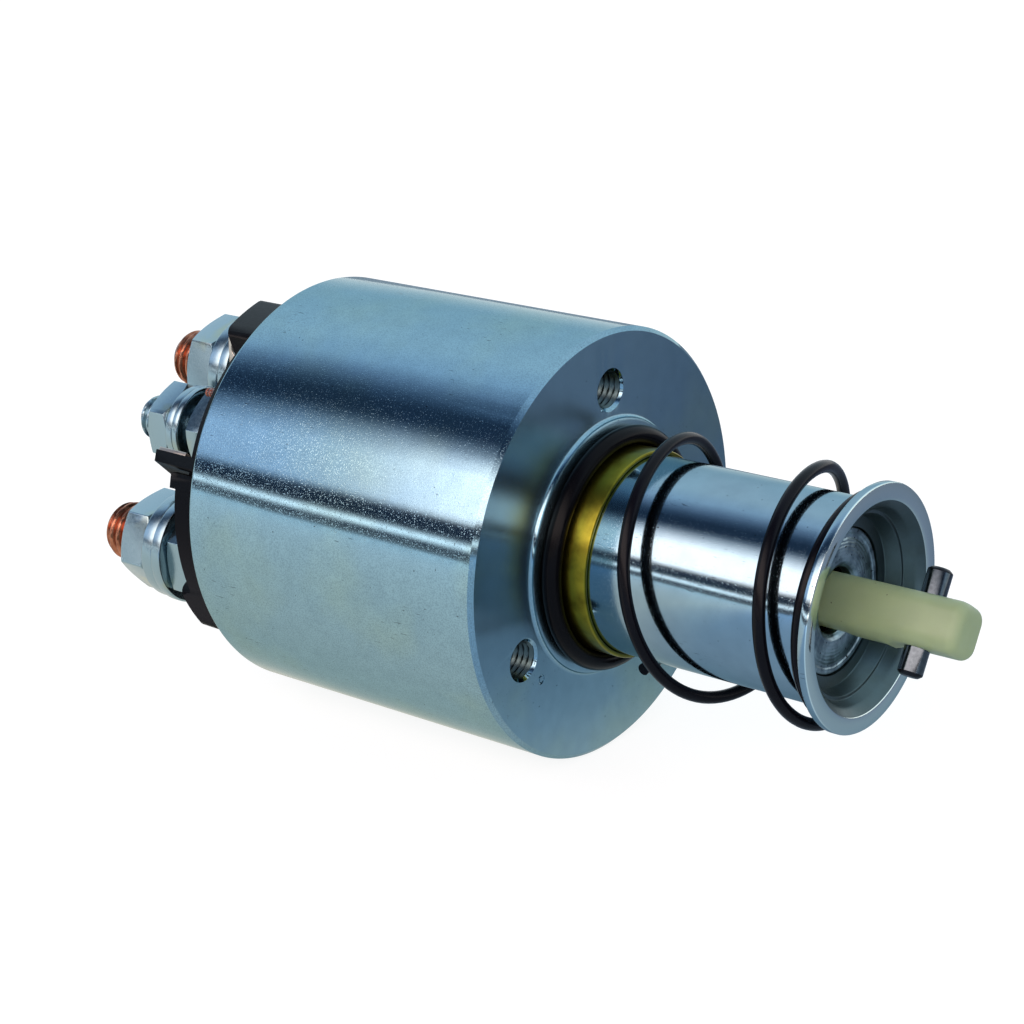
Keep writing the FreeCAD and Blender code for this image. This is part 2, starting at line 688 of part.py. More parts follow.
def contact_rod():
    """Rod through the core, with a collar for the contact spring."""
    turned_part("contact_rod", [
        ("-rod_depth", "0"),
        ("-rod_depth", "rod_radius - rod_edge"),
        ("-(rod_depth + rod_edge)", "rod_radius"),
        ("-collar_front", "rod_radius"),
        ("-collar_front", "rod_collar"),
        ("-collar_back", "rod_collar"),
        ("-collar_back", "rod_neck"),
        ("-rod_end", "rod_neck"),
        ("-rod_end", "0"),
    ])


def contact_gear():
    """Springs, bushes, disc and clip that ride on the rod."""
    bore = "rod_neck + running_gap"
    snug = "disc_bore - press_gap"
    middle = "(disc_front + disc_thick / 2)"
    coil(
        "contact_spring",
        "bush_front - contact_wire / 2 - seat_gap",
        "bush_front - collar_back - contact_wire - seat_gap * 2",
        "rod_neck + running_gap + contact_wire",
        "contact_wire / 2",
        "contact_turns",
        behind=True,
    )
    turned_part("front_bush", [
        ("-bush_front", bore),
        ("-bush_front", "bush_radius"),
        ("-(disc_front - seat_gap)", "bush_radius"),
        ("-(disc_front - seat_gap)", snug),
        (f"-({middle} - seat_gap)", snug),
        (f"-({middle} - seat_gap)", bore),
    ])
    turned_part("contact_disc", rectangle(
        "-disc_back", "-disc_front", "disc_bore", "disc_radius",
    ))
    turned_part("rear_bush", [
        ("-bush_back", bore),
        ("-bush_back", "bush_radius"),
        ("-(disc_back + seat_gap)", "bush_radius"),
        ("-(disc_back + seat_gap)", snug),
        (f"-{middle}", snug),
        (f"-{middle}", bore),
    ])
    turned_part("rod_clip", rectangle(
        "-clip_back", "-clip_front", "rod_neck + press_gap", "clip_radius",
    ))
    coil(
        "contact_return_spring",
        "pocket_floor - contact_return_wire / 2 - seat_gap",
        "pocket_floor - clip_back - contact_return_wire - seat_gap * 2",
        "clip_radius - contact_return_wire",
        "contact_return_wire / 2",
        "contact_return_turns",
        behind=True,
    )


def cap_seal():
    """Rubber ring between the pole plate and the cap."""
    turned_part("cap_seal", rectangle(
        "-(pole_back + seat_gap)", "-seal_back", "cap_bore", "crimped_radius",
    ))


def cap_cup():
    """Cup of the moulded cap: stepped end wall and a middle boss over the rod."""
    shoulder = "-(lip_depth - seat_gap)"
    return turned_part("terminal_cap", [
        ("-cap_front", "cap_bore"),
        ("-cap_front", "crimped_radius"),
        (shoulder, "crimped_radius"),
        (shoulder, "cap_rim"),
        ("-rim_depth", "cap_rim"),
        ("-rim_depth", "cap_rim - rim_wall"),
        ("-cap_face", "cap_rim - rim_wall"),
        ("-cap_face", "hub_radius"),
        ("-(hub_depth - hub_edge)", "hub_radius"),
        ("-hub_depth", "hub_radius - hub_edge"),
        ("-hub_depth", "0"),
        ("-pocket_floor", "0"),
        ("-pocket_floor", "hub_pocket"),
        ("-cap_floor", "hub_pocket"),
        ("-cap_floor", "cap_bore"),
    ])


def cap_pads(body):
    """Pads under the studs: those of the main studs run out to the rim as lobes."""
    for stud in ("motor", "battery"):
        round_end = new_sketch(body, "YZ_Plane", "cap_floor", f"{stud}_angle")
        circle_at(round_end, f"{stud}_circle", "0", "pad_radius")
        pad(body, round_end, "main_pad - cap_floor")
        outward = new_sketch(body, "YZ_Plane", "cap_floor", f"{stud}_lobe")
        closed_outline(outward, rectangle(
            f"{stud}_circle", "housing_radius + pad_radius", "-lobe_wide / 2", "lobe_wide / 2",
        ))
        pad(body, outward, "main_pad - cap_floor")
    small = new_sketch(body, "YZ_Plane", "cap_floor", "control_angle")
    circle_at(small, "control_circle", "0", "control_pad_radius")
    pad(body, small, "control_pad - cap_floor")


def terminal_cap():
    """Moulded cap with its pads, a barrier rib and a guard wall beside the battery stud."""
    body = cap_cup()
    cap_pads(body)
    rib = new_sketch(body, "YZ_Plane", "cap_floor", "-rib_turn")
    closed_outline(rib, rectangle(
        "-rib_outer", "-rib_inner", "-(rib_offset + rib_thick)", "-rib_offset",
    ))
    pad(body, rib, "rib_depth - cap_floor")
    revolve(body, [rectangle(
        "-(rib_depth + rib_thick)", "-(lip_depth - seat_gap)", "cap_rim",
        "housing_radius + pad_radius * 2",
    )], cut=True)
    for reach, span in (
        ("guard_depth", "battery_lobe - guard_from"),
        ("guard_depth + guard_step", "guard_step_span"),
    ):
        guard = rectangle(f"-({reach})", "-cap_floor", "cap_rim - rim_wall", "cap_rim")
        revolve(body, [guard], start="guard_from", span=span)
    for stud, radius in (
        ("motor", "main_stud"), ("battery", "main_stud"), ("control", "control_stud"),
    ):
        drill(body, f"{stud}_circle", f"{stud}_angle", f"{radius} + press_gap")
    drill(body, "lead_circle", "motor_lead_angle", "lead_hole")
    drill(body, "lead_circle", "control_lead_angle", "lead_hole")


def drill(body, circle, angle, radius):
    """Hole along X right through a body, at a polar place."""
    sketch = new_sketch(body, "YZ_Plane", None, angle)
    circle_at(sketch, circle, "0", radius)
    hole = pad(body, sketch, "through_all", cut=True)
    hole.Midplane = True


STUDS = {
    "motor": ("main", "main_pad + strap_thick"),
    "battery": ("main", "main_pad"),
    "control": ("control", "control_pad + strap_thick"),
}


def stack_of(stud):
    """Station of each piece stacked on a stud, from the cap outwards."""
    kind, base = STUDS[stud]
    slack = "control_slack" if kind == "control" else "0"
    stations = {}
    for piece, thick, gap in (
        ("lower_nut", f"{kind}_nut", "0"),
        ("flat_washer", f"{kind}_washer_thick", slack),
        ("spring_washer", f"{kind}_spring_thick", "0"),
        ("upper_nut", f"{kind}_nut", "0"),
    ):
        near = f"({base} + {gap} + seat_gap)"
        base = f"{near} + {thick}"
        stations[piece] = (near, f"({base})")
    return stations


def stud_pieces(stud):
    """Threaded stud with its two nuts, flat washer and split spring washer."""
    kind = STUDS[stud][0]
    thread = f"{kind}_stud"
    loose = f"{thread} + stud_gap"
    stack = stack_of(stud)
    tip = stack["upper_nut"][1]
    body = turned_part(f"{stud}_stud", rectangle(
        f"-({tip} + {kind}_free)", "-(cap_floor - seat_gap)", "0", thread,
    ))
    head = new_sketch(body, "YZ_Plane", "cap_floor - seat_gap", f"{stud}_angle")
    radius = "control_head" if kind == "control" else "head_radius"
    thick = "control_head_thick" if kind == "control" else "head_thick"
    circle_at(head, "0", "0", radius)
    pad(body, head, f"{thick} - seat_gap", backwards=False)
    doc.recompute()
    end = min(vertex.X for vertex in body.Shape.Vertexes)
    tip_radius = size(thread)
    dress(body, "Fillet", lambda edge: is_circle(edge, tip_radius, end), f"{kind}_dome")
    put_on_stud(body, stud)
    for place in ("lower", "upper"):
        near, far = stack[f"{place}_nut"]
        turn = f"{stud}_{place}_turn"
        nut(f"{stud}_{place}_nut", near, far, f"{kind}_flats", loose, turn, stud)
    for place, radius in (("flat_washer", f"{kind}_washer"), ("spring_washer", f"{kind}_spring")):
        near, far = stack[place]
        washer = turned_part(
            f"{stud}_{place}", rectangle(f"-{far}", f"-{near}", loose, radius),
        )
        if place == "spring_washer":
            washer.Tip.setExpression("Angle", bound("split_angle"))
        put_on_stud(washer, stud)


def nut(label, near, far, flats, bore, turn, stud):
    """Hexagon nut with its corners bevelled on both faces."""
    corner = f"({flats} / 2 / cos(30))"
    face = f"({flats} / 2 - nut_inset)"
    beyond = f"({corner} + nut_bevel)"
    slope = f"nut_bevel * ({beyond} - {face}) / ({corner} - {face})"
    body = new_body(label)
    prism = body.newObject("PartDesign::AdditivePrism", label + "_hexagon")
    prism.Polygon = 6
    prism.AttachmentSupport = (origin_plane(body, "YZ_Plane"), [""])
    prism.MapMode = "FlatFace"
    prism.AttachmentOffset = Placement(Vector(0, 0, 0), Rotation(Vector(0, 0, 1), 1.0))
    prism.setExpression("AttachmentOffset.Rotation.Angle", bound(turn))
    prism.setExpression("AttachmentOffset.Base.z", bound(f"-{far}"))
    prism.setExpression("Circumradius", bound(corner))
    prism.setExpression("Height", bound(f"{far} - {near}"))
    revolve(body, [
        rectangle(f"-{far}", f"-{near}", "0", bore),
        [(f"-{near}", face), (f"-{near}", beyond), (f"-({near} + {slope})", beyond)],
        [(f"-{far}", face), (f"-{far}", beyond), (f"-({far} - {slope})", beyond)],
    ], cut=True)
    put_on_stud(body, stud)


def motor_strap():
    """Eye under the lower nut and an upright tab where the pull-in lead is soldered."""
    body = new_body("motor_strap")
    eye = new_sketch(body, "YZ_Plane", "main_pad", "motor_angle")
    circle_at(eye, "motor_circle", "0", "main_flats / 2")
    pad(body, eye, "strap_thick")
    arm = new_sketch(body, "YZ_Plane", "main_pad")
    closed_outline(arm, [
        ("-abs(motor_circle * cos(motor_angle))", "motor_circle * sin(motor_angle) + arm_wide"),
        ("-(tab_across + strap_thick)", "tab_up + tab_wide / 2"),
        ("-(tab_across + strap_thick)", "tab_up - tab_wide / 2"),
        ("-abs(motor_circle * cos(motor_angle))", "motor_circle * sin(motor_angle) - arm_drop"),
    ])
    pad(body, arm, "strap_thick")
    tab = new_sketch(body, "YZ_Plane", "main_pad")
    closed_outline(tab, rectangle(
        "-(tab_across + strap_thick)", "-tab_across", "tab_up - tab_wide / 2",
        "tab_up + tab_wide / 2",
    ))
    pad(body, tab, "strap_thick + tab_height")
    drill(body, "motor_circle", "motor_angle", "main_stud + stud_gap")
    hole = new_sketch(body, "XZ_Plane")
    circle_at(hole, "-(main_pad + strap_thick + tab_hole_height)", "tab_up", "tab_hole")
    through = pad(body, hole, "through_all", cut=True)
    through.Midplane = True


def control_strap():
    """Eye under the lower nut with an upright edge against the barrier rib."""
    body = new_body("control_strap")
    eye = new_sketch(body, "YZ_Plane", "control_pad", "control_angle")
    circle_at(eye, "control_circle", "0", "control_washer")
    pad(body, eye, "strap_thick")
    far = "(rib_outer - flange_inset)"
    face = "(rib_offset - seat_gap)"
    flange = new_sketch(body, "YZ_Plane", "control_pad", "-rib_turn")
    closed_outline(flange, rectangle(
        f"-{far}", f"-({far} - flange_length)", f"-{face}", f"-({face} - strap_thick)",
    ))
    pad(body, flange, "strap_thick + flange_height")
    middle = "abs(control_circle * cos(control_angle + rib_turn))"
    bridge = new_sketch(body, "YZ_Plane", "control_pad", "-rib_turn")
    closed_outline(bridge, rectangle(
        f"-({middle} + bridge_wide / 2)", f"-({middle} - bridge_wide / 2)",
        f"-{face}", "-bridge_end",
    ))
    pad(body, bridge, "strap_thick")
    drill(body, "control_circle", "control_angle", "control_stud + stud_gap")


def lead(label, angle, near, far):
    """Straight end of a winding, through the pole plate and the cap."""
    body = new_body(label)
    sketch = new_sketch(body, "YZ_Plane", near, angle)
    circle_at(sketch, "lead_circle", "0", "lead_radius")
    pad(body, sketch, f"{far} - ({near})")


def terminals():
    """Studs with their hardware, the straps and the ends of the windings."""
    for stud in STUDS:
        stud_pieces(stud)
    motor_strap()
    control_strap()
    start = "bobbin_back + seat_gap"
    lead("pull_in_lead", "motor_lead_angle", start, "main_pad + strap_thick + lead_bared")
    lead("hold_in_lead", "control_lead_angle", start, "control_pad + strap_thick")


for make in (
    housing, guide_sleeve, front_seal, plunger, retaining_washer, link, cross_pin,
    return_spring, meshing_spring, bobbin, windings, fixed_core, contact_rod,
    contact_gear, cap_seal, terminal_cap, terminals,
):
    make()
doc.recompute()

failed = [
    item.Label for item in doc.Objects
    if {"Invalid", "Error"} & set(item.State)
]
for item in parts:
    if item.Shape.isNull() or not item.Shape.isValid():
        failed.append(item.Label)
if failed:
    raise SystemExit(f"failed: {sorted(set(failed))}")

os.makedirs("parts", exist_ok=True)
for item in parts:
    item.Shape.exportStep(f"parts/{item.Label}.step")
    print(f"{item.Label:24s} {len(item.Shape.Solids)} solid {item.Shape.Volume:10.1f} mm3")
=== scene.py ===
"""Starter solenoid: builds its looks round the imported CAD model.

Everything is in metres in the model's own frame: the origin is the centre of the front mounting face,
+X runs out along the plunger and +Z is up. Sizes in the tables below are millimetres, as on a drawing.
"""
import math

import bpy
from mathutils import Matrix, Vector


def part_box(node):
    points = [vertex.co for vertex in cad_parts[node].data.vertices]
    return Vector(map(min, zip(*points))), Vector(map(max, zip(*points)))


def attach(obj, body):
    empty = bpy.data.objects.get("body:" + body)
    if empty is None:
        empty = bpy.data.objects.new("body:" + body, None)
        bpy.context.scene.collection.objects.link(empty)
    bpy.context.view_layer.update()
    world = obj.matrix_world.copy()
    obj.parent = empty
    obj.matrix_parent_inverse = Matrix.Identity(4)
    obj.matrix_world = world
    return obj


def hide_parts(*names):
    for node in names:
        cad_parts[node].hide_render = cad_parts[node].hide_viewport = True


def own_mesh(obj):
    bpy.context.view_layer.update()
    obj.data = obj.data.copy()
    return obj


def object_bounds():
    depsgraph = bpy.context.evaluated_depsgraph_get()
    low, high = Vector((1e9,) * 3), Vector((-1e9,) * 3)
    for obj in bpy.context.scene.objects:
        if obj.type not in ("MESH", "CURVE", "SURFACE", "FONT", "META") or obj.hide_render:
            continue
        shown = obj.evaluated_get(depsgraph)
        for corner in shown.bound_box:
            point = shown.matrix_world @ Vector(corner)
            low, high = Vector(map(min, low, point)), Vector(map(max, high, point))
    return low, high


bl_info = {
    "name": "Starter solenoid",
    "version": (1, 0, 0),
    "blender": (4, 5, 0),
    "location": "3D View > Sidebar > Solenoid",
    "description": "Builds the pieces, finishes and studio of a starter solenoid",
    "category": "Object",
}

MM = 0.001
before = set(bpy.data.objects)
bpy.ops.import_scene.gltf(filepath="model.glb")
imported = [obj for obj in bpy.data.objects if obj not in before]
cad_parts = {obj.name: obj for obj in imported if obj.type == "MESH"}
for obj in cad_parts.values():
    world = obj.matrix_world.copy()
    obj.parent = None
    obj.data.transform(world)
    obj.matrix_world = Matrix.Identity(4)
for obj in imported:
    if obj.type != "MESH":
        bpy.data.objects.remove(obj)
cad_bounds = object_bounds()


def linear(code):
    """Linear red, green and blue of an sRGB hex colour."""
    parts = [int(code[place:place + 2], 16) / 255 for place in (1, 3, 5)]
    return tuple(
        part / 12.92 if part <= 0.04045 else ((part + 0.055) / 1.055) ** 2.4 for part in parts
    )


def far_point(node):
    """Highest corner of a CAD node, in millimetres."""
    return [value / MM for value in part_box(node)[1]]


def near_point(node):
    """Lowest corner of a CAD node, in millimetres."""
    return [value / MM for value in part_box(node)[0]]


def middle(node):
    """Middle of a CAD node across the axis, in millimetres."""
    low, high = near_point(node), far_point(node)
    return (low[1] + high[1]) / 2, (low[2] + high[2]) / 2


# Settings

def length_setting(name, meaning, millimetres):
    return bpy.props.FloatProperty(
        name=name, description=meaning, default=millimetres * MM, min=0.0, unit="LENGTH",
        precision=5,
    )


def colour_setting(name, meaning, code):
    return bpy.props.FloatVectorProperty(
        name=name, description=meaning, default=linear(code), size=3, min=0.0, max=1.0,
        subtype="COLOR",
    )


class SolenoidSizes(bpy.types.PropertyGroup):
    face_chamfer: length_setting("Face chamfer", "Chamfer round the front face of the can", 0.55)
    rear_round: length_setting("Rear rounding", "Rounding of the can's rolled rear edge", 0.5)
    edge: length_setting("Broken edge", "Rounding of edges that look sharp", 0.12)
    main_pitch: length_setting("Main pitch", "Thread pitch of the two main studs", 1.25)
    control_pitch: length_setting("Control pitch", "Thread pitch of the control stud", 1.0)
    tap_pitch: length_setting("Tap pitch", "Thread pitch of the holes in the face", 0.8)
    spring_wire: length_setting("Spring wire", "Thickness of the return spring's wire", 1.55)
    seal_section: length_setting("Seal section", "Thickness of the front seal ring", 2.4)


class SolenoidColours(bpy.types.PropertyGroup):
    zinc: colour_setting("Zinc", "Blue passivated zinc of the can", "#8EACBA")
    zinc_tint: colour_setting("Zinc tint", "Green bloom of the passivation", "#9DB3A6")
    plunger: colour_setting("Plunger", "Zinc on the plunger", "#8EA2AD")
    fastener: colour_setting("Fasteners", "Zinc on nuts and washers", "#91A6AF")
    fastener_tint: colour_setting("Fastener tint", "Yellow bloom on them", "#A3AA90")
    brass: colour_setting("Brass", "Guide sleeve", "#8A802A")
    copper: colour_setting("Copper", "The two main studs", "#B0745A")
    pin: colour_setting("Pin", "Ground steel of the cross pin", "#6A7278")
    nylon: colour_setting("Nylon", "Moulded link", "#93A27C")
    rubber: colour_setting("Rubber", "Front seal", "#040406")
    spring: colour_setting("Spring", "Oiled black spring wire", "#06060A")
    cap: colour_setting("Cap", "Moulded terminal cap", "#07080B")
    tin: colour_setting("Tin", "Tinned terminal straps", "#CFC6BA")


class SolenoidStudio(bpy.types.PropertyGroup):
    softbox: bpy.props.FloatProperty(
        name="Softbox", description="Share of its light that the long softbox gives",
        default=1.0, min=0.0, max=1.0,
    )
    room: bpy.props.FloatProperty(
        name="Room", description="Strength of the room's soft light", default=1.0, min=0.0,
    )
    floor: colour_setting("Floor", "Colour of the floor", "#F4F3F0")
    lens: bpy.props.FloatProperty(
        name="Lens", description="Focal length on a 36 mm sensor", default=84.2, min=10.0,
    )


def sizes():
    return bpy.context.scene.solenoid_sizes


def colours():
    return bpy.context.scene.solenoid_colours


def studio():
    return bpy.context.scene.solenoid_studio


# Modelling

def fresh():
    """Leaves edit mode with nothing selected."""
    active = bpy.context.view_layer.objects.active
    if active and active.mode != "OBJECT":
        bpy.ops.object.mode_set(mode="OBJECT")
    bpy.ops.object.select_all(action="DESELECT")


def take(piece):
    """Makes one piece the only one selected."""
    fresh()
    piece.select_set(True)
    bpy.context.view_layer.objects.active = piece


def apply(piece, kind, **settings):
    """Adds one modifier and applies it."""
    take(piece)
    modifier = piece.modifiers.new(kind.lower(), kind)
    for name, value in settings.items():
        setattr(modifier, name, value)
    bpy.ops.object.modifier_apply(modifier=modifier.name)


def soften(piece, width, segments=3, angle=30):
    """Rounds every edge that turns by more than the angle."""
    apply(
        piece, "BEVEL", width=width, segments=segments, limit_method="ANGLE",
        angle_limit=math.radians(angle),
    )


def cut(piece, cutter, operation="DIFFERENCE"):
    """Boolean with a cutter, which is then thrown away."""
    apply(piece, "BOOLEAN", operation=operation, object=cutter, solver="EXACT")
    bpy.data.objects.remove(cutter)


def smooth(piece, angle=32):
    take(piece)
    bpy.ops.object.shade_smooth_by_angle(angle=math.radians(angle))


def turned(name, outline, segments=96, centre=(0.0, 0.0)):
    """Ring of points at the first station, extruded and resized to each next one.

    Stations are (along X, radius) in millimetres. A radius of zero closes the piece with a pole,
    and an outline that ends where it starts closes on itself.
    """
    fresh()
    y, z = centre
    station, radius = outline[0]
    bpy.ops.mesh.primitive_circle_add(
        vertices=segments, radius=radius * MM, location=(station * MM, y * MM, z * MM),
        rotation=(0, math.pi / 2, 0),
    )
    piece = bpy.context.object
    piece.name = name
    bpy.ops.object.transform_apply(location=True, rotation=True, scale=True)
    bpy.ops.object.mode_set(mode="EDIT")
    bpy.ops.mesh.select_all(action="SELECT")
    closed = outline[0] == outline[-1]
    if not closed:
        bpy.ops.mesh.edge_face_add()
        bpy.ops.mesh.delete(type="ONLY_FACE")
        bpy.ops.mesh.select_all(action="SELECT")
    for next_station, next_radius in outline[1:]:
        bpy.ops.mesh.extrude_region_move(TRANSFORM_OT_translate={
            "value": ((next_station - station) * MM, 0, 0), "orient_type": "GLOBAL",
        })
        if next_radius == 0:
            bpy.ops.mesh.merge(type="CENTER")
        elif next_radius != radius:
            bpy.ops.transform.resize(
                value=(1, next_radius / radius, next_radius / radius), orient_type="GLOBAL",
                center_override=(next_station * MM, y * MM, z * MM),
            )
        station, radius = next_station, next_radius
    bpy.ops.mesh.select_all(action="SELECT")
    bpy.ops.mesh.remove_doubles(threshold=1e-6)
    bpy.ops.mesh.select_all(action="DESELECT")
    bpy.ops.mesh.select_mode(type="EDGE")
    bpy.ops.mesh.select_non_manifold()
    bpy.ops.mesh.edge_face_add()
    bpy.ops.mesh.select_all(action="SELECT")
    bpy.ops.mesh.normals_make_consistent(inside=False)
    bpy.ops.object.mode_set(mode="OBJECT")
    return piece


def select_edges(piece, chosen):
    """Enters edit mode with those edges selected for which chosen(end, other end) is true."""
    take(piece)
    bpy.ops.object.mode_set(mode="EDIT")
    bpy.ops.mesh.select_all(action="DESELECT")
    bpy.ops.object.mode_set(mode="OBJECT")
    points = piece.data.vertices
    for edge in piece.data.edges:
        edge.select = chosen(*(points[number].co for number in edge.vertices))
    bpy.ops.object.mode_set(mode="EDIT")
    bpy.ops.mesh.select_mode(type="EDGE")


def torus(name, x, y, z, ring, section, major_segments, minor_segments):
    """Ring of round section round an axis along X, in metres."""
    fresh()
    bpy.ops.mesh.primitive_torus_add(
        location=(x, y, z), rotation=(0, math.pi / 2, 0), major_radius=ring,
        minor_radius=section, major_segments=major_segments, minor_segments=minor_segments,
    )
    piece = bpy.context.object
    piece.name = name
    bpy.ops.object.transform_apply(location=True, rotation=True, scale=True)
    return piece


def put(piece, finish, body, slot, *nodes):
    """Gives a piece its finish and its body, and hides the CAD nodes it stands for. The slot is not
    used.
    """
    if finish is not None:
        piece.data.materials.clear()
        piece.data.materials.append(finish)
    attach(piece, body)
    if nodes:
        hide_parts(*nodes)
    return piece


def copy_of_node(node, name):
    """Piece that starts as a copy of a CAD solid, with its loose triangles merged."""
    fresh()
    piece = bpy.data.objects.new(name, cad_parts[node].data.copy())
    bpy.context.scene.collection.objects.link(piece)
    take(piece)
    bpy.ops.object.mode_set(mode="EDIT")
    bpy.ops.mesh.select_all(action="SELECT")
    bpy.ops.mesh.remove_doubles(threshold=1e-6)
    bpy.ops.mesh.dissolve_limited(angle_limit=math.radians(1.5))
    bpy.ops.object.mode_set(mode="OBJECT")
    return piece


def move_points(piece, place):
    """Moves each point of a mesh to place(point)."""
    for vertex in piece.data.vertices:
        vertex.co = place(vertex.co)
    piece.data.update()


# Finishes

def add(tree, kind, links=None, **settings):
    """Adds a node with its settings; links gives its inputs a value or another node's output."""
    made = tree.nodes.new("ShaderNode" + kind)
    for name, value in settings.items():
        setattr(made, name, value)
    for socket, source in (links or {}).items():
        if isinstance(source, bpy.types.NodeSocket):
            tree.links.new(source, made.inputs[socket])
        else:
            made.inputs[socket].default_value = source
    return made


def finish(name, **values):
    """New material with values on its shader's own sockets, its tree and the place on the piece."""
    made = bpy.data.materials.new(name)
    made.use_nodes = True
    shader = made.node_tree.nodes["Principled BSDF"]
    for socket, value in values.items():
        shader.inputs[socket.replace("_", " ")].default_value = value
    return made, made.node_tree, add(made.node_tree, "TexCoord").outputs["Object"]


def wired(made, **sources):
    """The material, with these sources linked to its shader's sockets."""
    shader = made.node_tree.nodes["Principled BSDF"]
    for socket, source in sources.items():
        made.node_tree.links.new(source, shader.inputs[socket.replace("_", " ")])
    return made


def opaque(colour):
    return (*colour, 1.0)


def paint(code):
    return opaque(linear(code))


def per_mm(size_mm):
    """Texture scale that gives features of that size."""
    return 1 / (size_mm * MM)


def mixed(tree, factor, first, second, blend="MIX"):
    """Colour between two others, or their product or sum: the node's inputs 6 and 7, output 2."""
    return add(
        tree, "Mix", {0: factor, 6: first, 7: second}, data_type="RGBA", blend_type=blend,
    ).outputs[2]


def noise(tree, place, size_mm, detail=0.0):
    """Noise with features of that size."""
    return add(tree, "TexNoise", {
        "Vector": place, "Scale": per_mm(size_mm), "Detail": detail,
    }).outputs["Fac"]


def drawn_out(tree, place, scale, detail=0.0, turn=(0.0, 0.0, 0.0)):
    """Noise with its own scale along each of three turned directions, for lines and scratches."""
    stretched = add(tree, "Mapping", {"Vector": place, "Rotation": turn, "Scale": scale})
    return add(tree, "TexNoise", {
        "Vector": stretched.outputs[0], "Scale": 1.0, "Detail": detail,
    }).outputs["Fac"]


def spread(tree, value, low, high, least=0.0, most=1.0):
    """Goes from least to most while the value goes from low to high."""
    return add(tree, "MapRange", {
        "Value": value, "From Min": low, "From Max": high, "To Min": least, "To Max": most,
    }).outputs["Result"]


def turned_rings(tree, place, pitch_mm, wander, detail, detail_size):
    """Rings that a lathe leaves round the X axis."""
    return add(tree, "TexWave", {
        "Vector": place, "Scale": WAVE * per_mm(pitch_mm), "Distortion": wander,
        "Detail": detail, "Detail Scale": detail_size,
    }, wave_type="RINGS", rings_direction="X").outputs["Fac"]


def computed(tree, operation, first, second):
    return add(tree, "Math", {0: first, 1: second}, operation=operation).outputs[0]


def bump(tree, height, depth_mm, **over):
    """Normal of a relief of that depth; over can name the normal that it lies on."""
    return add(tree, "Bump", {
        "Height": height, "Strength": 1.0, "Distance": depth_mm * MM, **over,
    }).outputs[0]


def parts_of(tree, vector):
    return add(tree, "SeparateXYZ", {0: vector}).outputs


def made_once(maker):
    """Keeps the material that a maker returns, so that every piece shares it."""
    kept = {}

    def get():
        if "it" not in kept:
            kept["it"] = maker()
        return kept["it"]
    return get


# Scale that gives a wave texture one wave per unit
WAVE = 0.314

# What passivated zinc keeps of the light that only grazes it
ZINC_EDGE = (0.6, 0.7, 0.72, 1.0)


def zinc_layers(tree, place, base, tint, grain_mm, grain_depth_mm, rear_grain=0.0):
    """Colour, cloud and normal of passivated zinc: bloom, sparkling facets, specks and scratches.

    The facets are scattered peaks over a level ground. rear_grain lowers that ground towards the
    rear, so that there are more of them, and frosts the hollows between them.
    """
    bloom = spread(tree, noise(tree, place, 16, 3.0), 0.46, 0.72, most=0.55)
    colour = mixed(tree, bloom, opaque(base), opaque(tint))
    cloud = noise(tree, place, 2.4, 4.0)
    clouded = spread(tree, cloud, 0.35, 0.75, most=0.12)
    colour = mixed(tree, clouded, colour, (0.05, 0.09, 0.13, 1.0))
    specks = spread(tree, noise(tree, place, 0.4), 0.84, 0.87, most=0.7)
    lines = drawn_out(tree, place, (700.0, 5200.0, 5200.0), turn=(0.6, 0.4, 0.9))
    clusters = spread(tree, noise(tree, place, 9), 0.56, 0.66)
    scratches = computed(tree, "MULTIPLY", spread(tree, lines, 0.78, 0.82, most=0.6), clusters)
    marks = computed(tree, "MAXIMUM", specks, scratches)
    colour = mixed(tree, marks, colour, (0.03, 0.035, 0.04, 1.0))
    grain = noise(tree, place, grain_mm, 1.0)
    frost = spread(tree, grain, 0.40, 0.56, 5 * rear_grain, 0.0)
    colour = mixed(tree, frost, colour, (0.06, 0.1, 0.14, 1.0))
    along = parts_of(tree, place)["X"]
    ground = spread(tree, along, -6 * MM, -42 * MM, 0.64, 0.64 - rear_grain)
    height = spread(tree, grain, ground, 0.84)
    return colour, cloud, bump(tree, height, grain_depth_mm)


@made_once
def zinc_can():
    """Bright zinc with blue passivation over drawn steel: satin, cool and grainy in the highlight."""
    made, tree, place = finish(
        "zinc plated drawn steel", Metallic=1.0, Specular_Tint=ZINC_EDGE,
    )
    colour, cloud, normal = zinc_layers(
        tree, place, colours().zinc, colours().zinc_tint, 0.17, 0.008, rear_grain=0.05,
    )
    rough = spread(tree, cloud, 0.0, 1.0, 0.07, 0.12)
    return wired(made, Base_Color=colour, Roughness=rough, Normal=normal)


@made_once
def zinc_face():
    """The same zinc over a turned face, whose fine rings smear reflections across them."""
    made, tree, place = finish(
        "zinc plated turned steel", Metallic=1.0, Roughness=0.22, Anisotropic=0.8,
        Anisotropic_Rotation=0.25, Specular_Tint=ZINC_EDGE,
    )
    colour, cloud, grain = zinc_layers(
        tree, place, colours().zinc, colours().zinc_tint, 0.42, 0.004,
    )
    rings = turned_rings(tree, place, 0.45, 1.0, 2.0, 0.15)
    around = add(tree, "Tangent", direction_type="RADIAL", axis="X").outputs[0]
    normal = bump(tree, rings, 0.0007, Normal=grain)
    return wired(made, Base_Color=colour, Normal=normal, Tangent=around)


